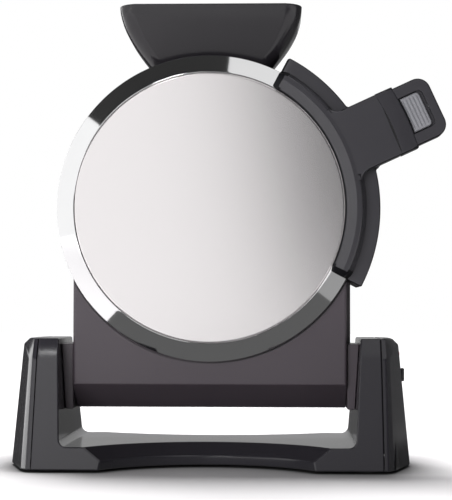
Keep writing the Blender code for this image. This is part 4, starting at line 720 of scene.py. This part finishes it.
def pouring_spout():
    """The funnel: bowed walls, a rounded lip, and the throat down into the head."""
    outer = skin("pouring_spout", [spout_row(w, d, z, SPOUT_CORNER) for z, w, d in SPOUT_ROWS])
    drum = rod("drum_room", (0, -0.05, HEAD_Z), (0, 0.05, HEAD_Z), DRUM_RADIUS + 0.0006, 200)
    funnel = cut(outer, drum)
    x, y = THROAT_OUTSIDE
    funnel = joined(funnel, block("throat", (-x, -y, 0.3045), (x, y, 0.3260)))
    x, y = THROAT_BORE
    wall, corner = SPOUT_WALL, SPOUT_INNER_CORNER
    inside = [spout_row(x, y, 0.3228, 0.0100)]
    inside += [
        spout_row(w - wall, d - wall, z, corner) for z, w, d in SPOUT_ROWS[:-1] if z > 0.3380
    ]
    half_width, half_depth = SPOUT_HALF_WIDTH - wall, SPOUT_HALF_DEPTH - wall
    inside.append(spout_row(half_width, half_depth, SPOUT_LIP_Z + 0.0030, corner))
    bore = block("throat_bore", (-x, -y, 0.3000), (x, y, 0.3240))
    funnel = cut(funnel, skin("spout_inside", inside), bore)
    funnel = softened(funnel, 0.0008, 4, 50, where=lambda middle: middle.z > SPOUT_LIP_Z - 0.0005)

    # The lip's rounded faces take painted shade
    def on_lip_painted_shade(face):
        return face.center.z > SPOUT_LIP_Z - 0.0010 and 0.1 < face.normal.z < 0.97

    for vert in funnel.vertices:
        rise = (vert.co.z - SPOUT_CROWN_FOOT_Z) / (SPOUT_LIP_Z - SPOUT_CROWN_FOOT_Z)
        bow = max(0, 1 - (vert.co.x / SPOUT_HALF_WIDTH) ** 2)
        vert.co.z += SPOUT_CROWN * max(0, rise) * bow
    fit_piece("pouring_spout", funnel, "base", "pour_spout", finish=SPOUT_FINISH, corner=on_lip_painted_shade)


# ---- Bracket, paddle and button


# The raised rib over the ring and the lower flange outside it, across the arc, as (radius, depth)
ARC_RADIUS = 0.1180
RIB_CEILING = 0.0452
RIB_MIDDLE = 0.1128
RIB_OUTER = 0.1203
RIB_FLAT = 0.0485
FLANGE_RADIUS = 0.1333
FLANGE_FACE = 0.0364
RIB_SECTION = rounded(
    [(0.1054, 0.0452), (0.1054, 0.0459), (0.1067, 0.0470), (0.1080, 0.0475), (0.1145, 0.0487),
     (0.1186, 0.0485), (0.1224, 0.0372), (0.1224, 0.0350), (0.1196, 0.0350), (0.1196, 0.0452)],
    [0, 0.0003, 0.0006, 0.0010, 0.0010, 0.0016, 0, 0, 0, 0], 4,
)
FLANGE_SECTION = rounded(
    [(0.1174, 0.0010), (FLANGE_RADIUS, 0.0010), (FLANGE_RADIUS, FLANGE_FACE),
     (0.1199, FLANGE_FACE), (0.1199, 0.0350), (0.1174, 0.0350)],
    [0, 0.0005, 0.0012, 0, 0, 0], 4,
)
# The rib's rounded ends, as (distance along, how much the section is drawn in)
RIB_END = [(0, 0.0042), (0.0036, 0.0008), (0.0040, 0.0005), (0.0045, 0.0002), (0.0051, 0)]


def rib_outline(inset):
    """The rib's section drawn in by an amount, as at its rounded ends."""
    ceiling = RIB_CEILING + 0.0001
    outline = []
    for radius, depth in RIB_SECTION:
        if depth > ceiling:
            depth = max(ceiling, depth - inset)
        side = inset * 0.45 if radius < RIB_MIDDLE else -inset * 0.45
        outline.append((radius + side * min(1, abs(radius - RIB_MIDDLE) / 0.004), depth))
    return outline


def round_end(size, steps=4):
    """A quarter round end, in the same form as RIB_END."""
    turns = [math.pi / 2 * i / steps for i in range(steps)]
    bend = [(size * (1 - math.cos(turn)), size * (1 - math.sin(turn))) for turn in turns]
    return bend + [(size, 0)]


def arc_stations(low_end, high_end):
    """Angles along the bracket with how much the section is drawn in at each."""
    low = [(ARC_START + along / ARC_RADIUS, inset) for along, inset in low_end]
    high = [(ARC_END - along / ARC_RADIUS, inset) for along, inset in high_end]
    first, last = low[-1][0], high[-1][0]
    return low + [(first + (last - first) * i / 80, 0) for i in range(1, 80)] + high[::-1]


def bracket(facing):
    """An arc bracket: the raised rib and the flange beside it."""
    side = HALF_NAME[facing]
    rib = []
    for turn, inset in arc_stations(RIB_END, RIB_END):
        rib.append([half_place(facing, *point, turn) for point in rib_outline(inset)])
    flange = []
    for turn, inset in arc_stations(round_end(0.0010), round_end(0.0024)):
        reach, front = FLANGE_RADIUS - inset, FLANGE_FACE - inset
        points = [(min(radius, reach), min(depth, front)) for radius, depth in FLANGE_SECTION]
        flange.append([half_place(facing, *point, turn) for point in points])
    return merged(f"{side}_arc", skin(f"{side}_rib", rib), skin(f"{side}_flange", flange))


# The handle lies level in this frame: x along it, y across it, and z towards the front
LEVEL = HANDLE_FRAME @ Matrix.Rotation(math.pi / 2, 4, "X")
PADDLE_HALF = 0.0254
PADDLE_DEPTHS = (0.0304, RIB_FLAT + 0.00003)
PADDLE_TIP_X = 0.1944
PADDLE_END_FACE = 0.0464
COLLAR_START = 0.1549
COLLAR_END = 0.1690


def root_fillet(circle_radius, half, radius, steps=10):
    """Points from a circle about the disc's axis round to one side of the paddle."""
    y = half + radius
    x = math.sqrt((circle_radius + radius) ** 2 - y * y)
    return arc(radius, math.atan2(-y, -x), -math.pi / 2, steps, x, y)


def disc_arc(radius, half, steps=16):
    """Points at one radius about the disc's axis, from one side of the paddle to the other."""
    reach = math.asin(half / radius)
    return arc(radius, reach, -reach, steps)


def mirrored(points):
    return [(x, -y) for x, y in reversed(points)]


def in_level(point):
    return LEVEL.inverted() @ point


def paddle_neck():
    """The paddle from the rib to the collar, its root swelling into the rib."""
    side = [(0.1160, 0.0300)] + root_fillet(RIB_OUTER, PADDLE_HALF, 0.0080)
    outline = side + disc_arc(COLLAR_START, PADDLE_HALF) + mirrored(side)
    outline += mirrored(disc_arc(0.1150, 0.029))[::-1]

    def on_side(middle):
        place = in_level(middle)
        beside = RIB_OUTER - 0.0004 < math.hypot(place.x, place.y) < COLLAR_START + 0.0008
        return beside and abs(place.y) > PADDLE_HALF - 0.0010

    return softened(slab("paddle_neck", outline, *PADDLE_DEPTHS, LEVEL), 0.0013, 4, 40, where=on_side)


def paddle_collar():
    """The band before the button, curved with the disc and falling towards the tip."""
    half, edge, low = PADDLE_HALF + 0.0003, 0.0014, PADDLE_DEPTHS[0]
    sections = []
    for i in range(15):
        share = i / 14
        radius = COLLAR_START + (COLLAR_END - COLLAR_START) * share
        top = RIB_FLAT + 0.0001 - 0.0022 * share ** 1.6
        if i == 14:
            top -= 0.0004
        across = [(half, low)] + arc(edge, 0, math.pi / 2, 5, half - edge, top - edge)
        across += [((half - edge) * (1 - k / 6), top) for k in range(1, 6)]
        across += [(-y, depth) for y, depth in reversed(across)]
        section = []
        for y, depth in across:
            turn = math.asin(y / radius)
            section.append(LEVEL @ Vector((radius * math.cos(turn), y, depth)))
        sections.append(section)
    return skin("paddle_collar", sections)


def paddle_end():
    """The lower end part, with the window that the button moves in."""
    half, root_x, tip_x, top = 0.0242, 0.1600, PADDLE_TIP_X, PADDLE_END_FACE
    corners = [(root_x, -half), (tip_x, -half), (tip_x, half), (root_x, half)]
    end = slab("paddle_end", rounded(corners, [0, 0.0102, 0.0102, 0], 12), 0.0306, top, LEVEL)
    end = softened(end, 0.0014, 4, 40, where=lambda middle: in_level(middle).x > 0.1610)
    window = [(0.1660, -0.0147), (0.1870, -0.0147), (0.1870, 0.0147), (0.1660, 0.0147)]
    pocket = slab("pocket", rounded(window, [0, 0.0036, 0.0036, 0], 8), 0.0442, 0.0520, LEVEL)
    end = cut(end, pocket)

    def on_window(middle):
        place = in_level(middle)
        return place.z > top - 0.0003 and 0.1655 < place.x < 0.1880 and abs(place.y) < 0.0155

    return softened(end, 0.0005, 3, 60, where=on_window)


def flange_fillets():
    """The two webs that round the flange into the paddle's sides."""
    webs = []
    for way in (-1, 1):
        curve = root_fillet(0.1326, 0.0250, 0.0075)
        outline = [(0.1290, curve[0][1]), *curve, (curve[-1][0], 0.0200), (0.1290, 0.0200)]
        points = [(x, way * y) for x, y in outline]
        webs.append(softened(slab("web", points, 0.0012, 0.0360, LEVEL), 0.0006, 2, 60))
    return webs


def on_handle_painted_shade(face):
    """Rounded corners, other than the rib's own slopes, and the bracket's two ends: faces for painted
    shade.
    """
    radius = math.hypot(face.center.x, face.center.z - HEAD_Z)
    around = math.atan2(face.center.z - HEAD_Z, face.center.x)
    from_end = min(around - ARC_START, ARC_END - around)
    if 0.1068 < radius < 0.1320 and from_end > 0.06:
        return False
    return radius < 0.1340 and from_end < 0.004 or 0.12 < abs(face.normal.y) < 0.965


def paddle_root(near, far):
    """The block behind the paddle's root, between two depths."""
    root = block("root", (0.1214, near, -0.0220), (0.1499, far, 0.0220), HANDLE_FRAME)
    return softened(root, 0.0008, 3)


def front_handle():
    """The front bracket with its paddle: neck, collar and end."""
    pieces = [bracket(FRONT), paddle_neck(), paddle_collar(), paddle_end(), *flange_fillets()]
    name = "front_bracket_and_paddle"
    mesh = merged(name, *pieces, paddle_root(-0.0400, -0.0010))
    fit_piece(name, mesh, "front_half", "front_handle", corner=on_handle_painted_shade)


def rear_bracket():
    mesh = merged("rear_bracket", bracket(REAR), paddle_root(0.0010, 0.0210))
    fit_piece("rear_bracket", mesh, "base", "rear_handle_bracket", corner=on_handle_painted_shade)


def release_button():
    """The grey button: soft ribs across it, rounded edges and an inner end curved with the collar."""
    end, half, face, foot_depth, edge, corner = 0.1840, 0.0140, 0.0480, 0.0443, 0.0010, 0.0032
    rib_count, rib_pitch, rib_height = 5, 0.0029, 0.0007
    count_u, count_v = 84, 44
    shape = bmesh.new()
    grid = []
    for i in range(count_u + 1):
        u = i / count_u
        row = []
        for j in range(count_v + 1):
            v = -1 + 2 * j / count_v
            across = half * v
            start = math.sqrt((COLLAR_END + 0.0005) ** 2 - across * across)
            into = min(1, max(0, (abs(across) - half + corner) / corner))
            row_end = end - corner * (1 - math.sqrt(1 - into ** 2))
            along = start + (row_end - start) * u
            drop = 0
            for rim in ((row_end - along), (1 - abs(v)) * half):
                if rim < edge:
                    drop += edge - math.sqrt(max(0, edge ** 2 - (edge - rim) ** 2))
            pitch = (end - 0.0017 - along) / rib_pitch
            level = face - min(drop, edge)
            if 0 < pitch < rib_count:
                fade = min(1, max(0, (half - 0.0016 - abs(across)) / 0.0014))
                level += rib_height * fade * math.sin(math.pi * (pitch % 1)) ** 1.5
            row.append(shape.verts.new(LEVEL @ Vector((along, across, level))))
        grid.append(row)
    for i in range(count_u):
        for j in range(count_v):
            shape.faces.new((grid[i][j], grid[i + 1][j], grid[i + 1][j + 1], grid[i][j + 1]))
    border = grid[0] + [row[-1] for row in grid[1:]]
    border += grid[-1][-2::-1] + [row[0] for row in grid[-2:0:-1]]
    foot = []
    for vert in border:
        place = in_level(vert.co)
        foot.append(shape.verts.new(LEVEL @ Vector((place.x, place.y, foot_depth))))
    for i in range(len(border)):
        shape.faces.new((border[i - 1], border[i], foot[i], foot[i - 1]))
    shape.faces.new(foot)
    mesh = new_mesh("release_button", shape)
    fit_piece("release_button", mesh, "latch", "latch_button", weighted=False)


def return_spring():
    """The latch's coil spring, as one fixed coil; the real spring shortens as the button slides out.
    """
    wire, radius, depth, start, end, turns, sides = 0.0004, 0.0024, 0.0427, 0.1869, 0.1917, 4, 8
    steps = turns * 20
    sections = []
    for i in range(steps + 1):
        angle = math.tau * turns * i / steps
        out = Vector((0, math.cos(angle), math.sin(angle)))
        middle = Vector((start + (end - start) * i / steps, 0, depth)) + out * radius
        bends = [out * x + Vector((y, 0, 0)) for x, y in circle(wire, sides)]
        sections.append([LEVEL @ (middle + bend) for bend in bends])
    mesh = skin("return_spring", sections)
    spring = fit_piece("return_spring", mesh, "front_half", "latch_spring", weighted=False)
    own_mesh(spring)


# ---- Base


def front_outline(inset, foot_z):
    right = [
        (SEAM_X - inset, foot_z), (SEAM_X - inset, TOWER_TOP_Z - inset),
        (TOWER_TOP_X + inset, TOWER_TOP_Z - inset), (TOWER_FOOT_X + inset, BAR_TOP_Z - inset),
    ]
    radii = [0, 0, 0, 0.0060 + inset]
    left = [(-x, z) for x, z in reversed(right)]
    return rounded(right + left, radii + radii[::-1], 12)


def tower_half_depth(z):
    """Half the depth of a tower below its shoulder."""
    slope = (BASE_HALF_DEPTH - SHOULDER_HALF_DEPTH) / (SHOULDER_Z - SKIRT_Z)
    return BASE_HALF_DEPTH - slope * (z - SKIRT_Z)


def side_outline(inset, foot_z):
    rear = [
        (tower_half_depth(foot_z) - inset, foot_z),
        (SHOULDER_HALF_DEPTH - inset, SHOULDER_Z),
        (TOWER_TOP_HALF_DEPTH - inset, TOWER_TOP_Z - inset),
    ]
    return rear + [(-y, z) for y, z in reversed(rear)]


FRONT_FRAME = Matrix.Rotation(math.pi / 2, 4, "X")


def column(name, y, inset, rows, sides):
    """An upright turned tool from (radius, z) rows, wider by the inset."""
    sections = []
    for radius, z in rows:
        sections.append([(dx, y + dy, z) for dx, dy in circle(radius + inset, sides)])
    return skin(name, sections)


def base_form(name, inset, foot_z):
    """Towers and crossbar as a solid, with the crossbar's front and rear waists."""
    form = slab(name, front_outline(inset, foot_z), -0.08, 0.08, FRONT_FRAME)
    side = slab("side", side_outline(inset, foot_z), -0.135, 0.135, SIDE_FRAME)
    form = combined(form, "INTERSECT", side)
    under, over = -0.004, BAR_TOP_Z + 0.002
    rows = [(0.0950, under), (0.0950, 0.0088), (0.1080, BAR_TOP_Z), (0.1106, over)]
    front_waist = column("front_waist", FRONT_WAIST_Y, inset, rows, 160)
    rows = [(REAR_WAIST_RADIUS, under), (REAR_WAIST_RADIUS, over)]
    rear_waist = column("rear_waist", REAR_WAIST_Y + REAR_WAIST_RADIUS, inset, rows, 240)
    return cut(form, front_waist, rear_waist)


def base_moulding():
    """Towers and crossbar in one moulding, open below, with softened corners."""
    outer = softened(base_form("base_moulding", 0, SKIRT_Z), 0.0011, 3, 24)
    shell = cut(outer, base_form("base_inside", SHELL_WALL, -0.002))
    fit_piece("base_moulding", shell, "base", "base_shell")


def cover_outer_x(z):
    rise = (z - SKIRT_Z) / (TOWER_TOP_Z - SKIRT_Z)
    return SEAM_X + COVER_WIDTH_LOW + (COVER_WIDTH_HIGH - COVER_WIDTH_LOW) * rise


def cover_corners(way, inset):
    """Corners of a cover as a solid, or of the room inside it if there is an inset."""
    seam = SEAM_X + 0.0003
    # z, half depth, the facet's width and run, the outer face's half depth, and the chamfer
    rows = [
        (SKIRT_Z, BASE_HALF_DEPTH, 0.0084, 0.0080, 0.0190, 0),
        (SHOULDER_Z, SHOULDER_HALF_DEPTH, 0.0070, 0.0058, 0.0165, 0),
        (TOWER_TOP_Z, TOWER_TOP_HALF_DEPTH, 0.0060, 0.0058, 0.0150, COVER_CHAMFER),
    ]
    points = []
    for z, half_depth, facet, run, flat, chamfer in rows:
        level = z - inset if z == TOWER_TOP_Z else z
        level = z - 0.002 if z == SKIRT_Z and inset else level
        outer = cover_outer_x(z) - chamfer - inset
        start = seam - (0.002 if inset else 0)
        for end in (-1, 1):
            points += [
                (way * start, end * (half_depth - inset), level),
                (way * (SEAM_X + COVER_EDGE), end * (half_depth - inset), level),
                (way * (SEAM_X + facet), end * (half_depth - run - inset), level),
                (way * outer, end * flat, level),
            ]
    lip = TOWER_TOP_Z - COVER_CHAMFER
    flat = 0.0165 - 0.0015 * (lip - SHOULDER_Z) / (TOWER_TOP_Z - SHOULDER_Z)
    points += [(way * (cover_outer_x(lip) - inset), end * flat, lip) for end in (-1, 1)]
    return points


def on_cover_skin(middle):
    """Whether an edge lies on the outside of a tower's cover, away from the seam."""
    across = abs(middle.x) - SEAM_X
    if across <= 0.0004:
        return False
    if middle.z > TOWER_TOP_Z - 0.0012 or abs(middle.x) > cover_outer_x(middle.z) - 0.0040:
        return True
    drawn_in = max(0, across - COVER_EDGE) * 2.4
    return abs(middle.y) > tower_half_depth(middle.z) - 0.0016 - drawn_in


def side_cover(way):
    """The outer half of a tower: facets that meet in softened corners."""
    side = "left" if way < 0 else "right"
    name = f"{side}_tower_cover"
    inside = convex("cover_inside", cover_corners(way, SHELL_WALL))
    shell = cut(convex(name, cover_corners(way, 0)), inside)
    shell = softened(shell, 0.0012, 3, 10, where=on_cover_skin)
    if way > 0:
        low, high = KNOB_Z - SLOT_HALF_HEIGHT, KNOB_Z + SLOT_HALF_HEIGHT
        corner = (SEAM_X + 0.0110, -SLOT_HALF_LENGTH, low)
        slot = block("slot", corner, (0.17, SLOT_HALF_LENGTH, high))
        holes = [
            rod("hole", (0.13, y, LENS_Z), (0.17, y, LENS_Z), LENS_HOLE_RADIUS, 24)
            for y in (-LENS_Y, LENS_Y)
        ]
        shell = cut(shell, slot, *holes)
    fit_piece(name, shell, "base", f"{side}_side_cover")


def slide_knob():
    """The knob outside the right tower: a rounded cap with grip grooves, on a stem."""
    low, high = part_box("temperature_knob")
    seat = high[0] - KNOB_PROUD
    cap = softened(block("slide_knob", (seat, low[1], low[2]), tuple(high)), 0.0009, 3)
    grooves = []
    for y in (-GROOVE_PITCH, 0, GROOVE_PITCH):
        corner = (high[0] - 0.0005, y - 0.0003, low[2] + 0.0014)
        grooves.append(block("groove", corner, (high[0] + 0.001, y + 0.0003, high[2] - 0.0014)))
    half = KNOB_STEM_HALF
    stem = block("stem", (low[0], -half, KNOB_Z - half), (seat + 0.0003, half, KNOB_Z + half))
    knob = merged("slide_knob", cut(cap, *grooves), stem)
    fit_piece("slide_knob", knob, "knob", "temperature_knob")


def lamp_lens(node):
    low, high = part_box(node)
    y, z = (low[1] + high[1]) / 2, (low[2] + high[2]) / 2
    name = node + "_dome"
    lens = rod(name, (low[0], y, z), (high[0], y, z), LENS_RADIUS, 40)
    fit_piece(name, softened(lens, 0.0007, 5, 60), "base", node)


def rubber_foot(number):
    """A round pad with a rounded rim and a shallow dish below."""
    low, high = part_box(f"foot_{number}")
    x, y, radius = (low[0] + high[0]) / 2, (low[1] + high[1]) / 2, (high[0] - low[0]) / 2
    dish = rod("dish", (x, y, -0.001), (x, y, 0.0006), radius * 0.55, 40)
    pad = rod(f"rubber_foot_{number}", (x, y, low[2]), (x, y, high[2]), radius, 48)
    pad = cut(softened(pad, 0.0007, 4, 60), dish)
    fit_piece(f"rubber_foot_{number}", pad, "base", f"foot_{number}")


for half in (FRONT, REAR):
    bezel_ring(half)
    brushed_disc(half)
    casing(half)
pouring_spout()
front_handle()
rear_bracket()
release_button()
return_spring()
base_moulding()
side_cover(-1)
side_cover(1)
slide_knob()
for lens_name in ("power_light_lens", "ready_light_lens"):
    lamp_lens(lens_name)
for foot_number in range(1, 6):
    rubber_foot(foot_number)


# ---- Studio and camera

FLOOR_HALF = 6
FLOOR_CARD_Z = 0.0008
CONTACT_SHADE_REACH = 0.055
FLOOR_GLOW_START, FLOOR_GLOW_END = 0.35, 1.9
FOCAL_LENGTH = 1535.1
PICTURE_HEIGHT = 500
SENSOR_SIZE = 36
CAMERA_PLACE = (0.0530, -1.2333, 0.1250)
CAMERA_TURN, CAMERA_TILT, CAMERA_ROLL = 0.0335, 0.0371, 0.0017


def emission(name, strength, one_sided):
    material, nodes, _ = finish_material(name)
    nodes.clear()
    shown = add(nodes, "ShaderNodeEmission", Color=(1, 1, 1, 1), Strength=strength).outputs[0]
    if one_sided:
        behind = nodes.new("ShaderNodeNewGeometry").outputs["Backfacing"]
        clear = nodes.new("ShaderNodeBsdfTransparent").outputs[0]
        shown = mixed(nodes, behind, shown, clear)
    join(shown, nodes.new("ShaderNodeOutputMaterial").inputs["Surface"])
    return material


def flat_face(name, corners, material):
    """A stage object of one face."""
    mesh = bpy.data.meshes.new(name)
    mesh.from_pydata(corners, [], [range(len(corners))])
    mesh.materials.append(material)
    face = placed(name, mesh)
    return face


def card(name, strength, corners, one_sided=False):
    """A card that the pieces reflect and the camera doesn't see."""
    made = flat_face(name, corners, emission(name, strength, one_sided))
    made.visible_camera = made.visible_shadow = False
    made.visible_transmission = made.visible_diffuse = False


def upright_card(name, strength, x0, y0, x1, y1, low, high):
    card(name, strength, [(x0, y0, low), (x1, y1, low), (x1, y1, high), (x0, y0, high)])


def rectangle(x0, y0, x1, y1, z):
    return [(x0, y0, z), (x1, y0, z), (x1, y1, z), (x0, y1, z)]


def floor_flag(name, strength, *corners):
    """A dark card on the floor, seen from above only: two opposite corners, or all of them."""
    if len(corners) == 2:
        (x0, y0), (x1, y1) = corners
        corners = (x0, y0), (x1, y0), (x1, y1), (x0, y1)
    card(name, strength, [(x, y, FLOOR_CARD_Z) for x, y in corners], one_sided=True)


def area_light(name, place, target, size, power):
    data = bpy.data.lights.new(name, "AREA")
    data.shape = "RECTANGLE"
    data.size, data.size_y = size
    data.energy = power
    light = placed(name, data)
    way = (Vector(target) - Vector(place)).to_track_quat("-Z", "Y")
    light.matrix_world = Matrix.Translation(place) @ way.to_matrix().to_4x4()
    light.visible_glossy = False


def floor_finish():
    """A matt white floor: painted contact shadow near the object, and a painted glow farther off that
    keeps it white.
    """
    material, nodes, shader = finish_material("floor_white_painted_shadow")
    # Painted contact shadow: the colour darkens where the object is near
    contact_shadow_occlusion = add(nodes, "ShaderNodeAmbientOcclusion", Distance=CONTACT_SHADE_REACH)
    open_share = math_node(nodes, "POWER", contact_shadow_occlusion.outputs["AO"], 2.0)
    tone = tinted(nodes, open_share, (0.04, 0.04, 0.04), (0.48, 0.47, 0.475))
    join(tone, shader.inputs["Base Color"])
    set_inputs(shader, {"Roughness": 0.8, "Specular IOR Level": 0.0, "Emission Color": (1, 1, 1, 1)})
    # Painted light: the floor glows more the farther it is from the middle
    where = nodes.new("ShaderNodeTexCoord")
    distance = nodes.new("ShaderNodeVectorMath")
    distance.operation = "LENGTH"
    join(where.outputs["Object"], distance.inputs[0])
    glow = add(nodes, "ShaderNodeMapRange", From_Min=FLOOR_GLOW_START, From_Max=FLOOR_GLOW_END)
    glow.interpolation_type = "SMOOTHSTEP"
    join(distance.outputs["Value"], glow.inputs["Value"])
    join(glow.outputs[0], shader.inputs["Emission Strength"])
    return material


def studio_sky():
    """White to the camera, pale as diffuse light, and nearly black in reflections."""
    world = bpy.data.worlds.new("studio")
    scene.world = world
    world.use_nodes = True
    nodes = world.node_tree.nodes
    nodes.clear()
    seen = nodes.new("ShaderNodeLightPath")

    skies = []
    for colour, strength in (((1, 1, 1), 1.0), ((0.96, 0.97, 1.0), 0.29), ((0.95, 0.97, 1.0), 0.06)):
        sky = add(nodes, "ShaderNodeBackground", Color=(*colour, 1), Strength=strength)
        skies.append(sky.outputs[0])
    lit = mixed(nodes, seen.outputs["Is Glossy Ray"], skies[1], skies[2])
    shown = mixed(nodes, seen.outputs["Is Camera Ray"], lit, skies[0])
    join(shown, nodes.new("ShaderNodeOutputWorld").inputs["Surface"])


scene.view_settings.view_transform = "Standard"
flat_face("floor", rectangle(-FLOOR_HALF, -FLOOR_HALF, FLOOR_HALF, FLOOR_HALF, 0), floor_finish())
studio_sky()
area_light("top_soft", (-0.06, 0.42, 1.5), (0, 0, 0.1), (0.5, 0.50), 60)
area_light("front_fill", (-0.8, -2.1, 0.36), (0, 0, 0.2), (1.2, 0.5), 50)

# Each card's strength comes first. Walls stand at the left, behind, and behind the camera
upright_card("left_wall", 1.1, -1.6, -2.4, -1.6, 0.9, 0, 2.4)
upright_card("left_rear_wall", 3.0, -1.6, 0.9, -1.25, 1.42, 0, 1.0)
upright_card("left_rear_flag", 0.05, -0.75, 0.62, -0.30, 0.78, 0, 0.6)
upright_card("right_rear_flag", 0.13, 0.22, 1.2, 1.5, -0.2, 0, 1.5)
floor_flag("left_floor_flag", 0.05, (-0.152, -0.06), (-0.152, 1.4), (-1.18, 1.19))
floor_flag("right_floor_flag", 0.05, (0.152, -0.09), (0.45, 0.40))
floor_flag("right_far_floor_flag", 0.24, (0.45, -0.09), (1.2, -0.09), (1.2, 1.3), (0.152, 1.3),
           (0.152, 0.40), (0.45, 0.40))
floor_flag("front_floor_flag", 0.60, (-0.12, -1.05), (0.22, -0.55))
floor_flag("far_front_floor_flag", 1.06, (-1.0, -2.75), (0.16, -1.05))
floor_flag("right_front_floor_flag", 0.15, (0.16, -2.75), (1.0, -1.05))
floor_flag("right_near_floor_flag", 0.36, (0.27, -0.35), (0.52, -0.09))
card("shoulder_glint", 18.0, rectangle(-0.40, -1.01, -0.20, -0.92, 1.06))
for name, strength, start, end in (
    ("front_high_left", 1.4, -1.0, -0.12), ("front_high_right", 0.45, -0.12, 0.8),
):
    low, high = (-1.9, 0.95), (-1.45, 1.45)
    card(name, strength, [(start, *low), (end, *low), (end, *high), (start, *high)])
card("front_left_wall", 1.04,
     [(-2.6, -2.8, 0), (0.16, -2.8, 0), (-0.04, -2.8, 1.2), (-2.6, -2.8, 1.2)])
upright_card("back_wall", 0.48, -0.5, 2.0, 0.5, 2.0, 0.05, 0.6)
card("top_flag", 0.035, rectangle(-1.2, -1.2, 0.075, 0.4, 1.15))
card("top_right_card", 0.85, rectangle(0.08, -1.2, 0.6, 0.4, 1.15))
floor_flag("floor_flag", 0.12, (-0.20, -0.35), (0.27, -0.02))
floor_flag("rear_floor_flag", 0.12, (-0.2, 0.09), (0.2, 0.09), (0.6, 2.4), (-0.6, 2.4))
upright_card("rear_wall", 0.9, -2.2, 2.7, 2.2, 2.7, 0.75, 2.3)

camera_data = bpy.data.cameras.new("camera")
camera_data.lens = FOCAL_LENGTH / PICTURE_HEIGHT * SENSOR_SIZE
camera_data.sensor_width = SENSOR_SIZE
camera_data.clip_start = 0.05
camera = placed("camera", camera_data)
camera.matrix_world = (
    Matrix.Translation(CAMERA_PLACE)
    @ Matrix.Rotation(CAMERA_TURN, 4, "Z")
    @ Matrix.Rotation(math.radians(90) + CAMERA_TILT, 4, "X")
    @ Matrix.Rotation(CAMERA_ROLL, 4, "Z")
)
scene.camera = camera
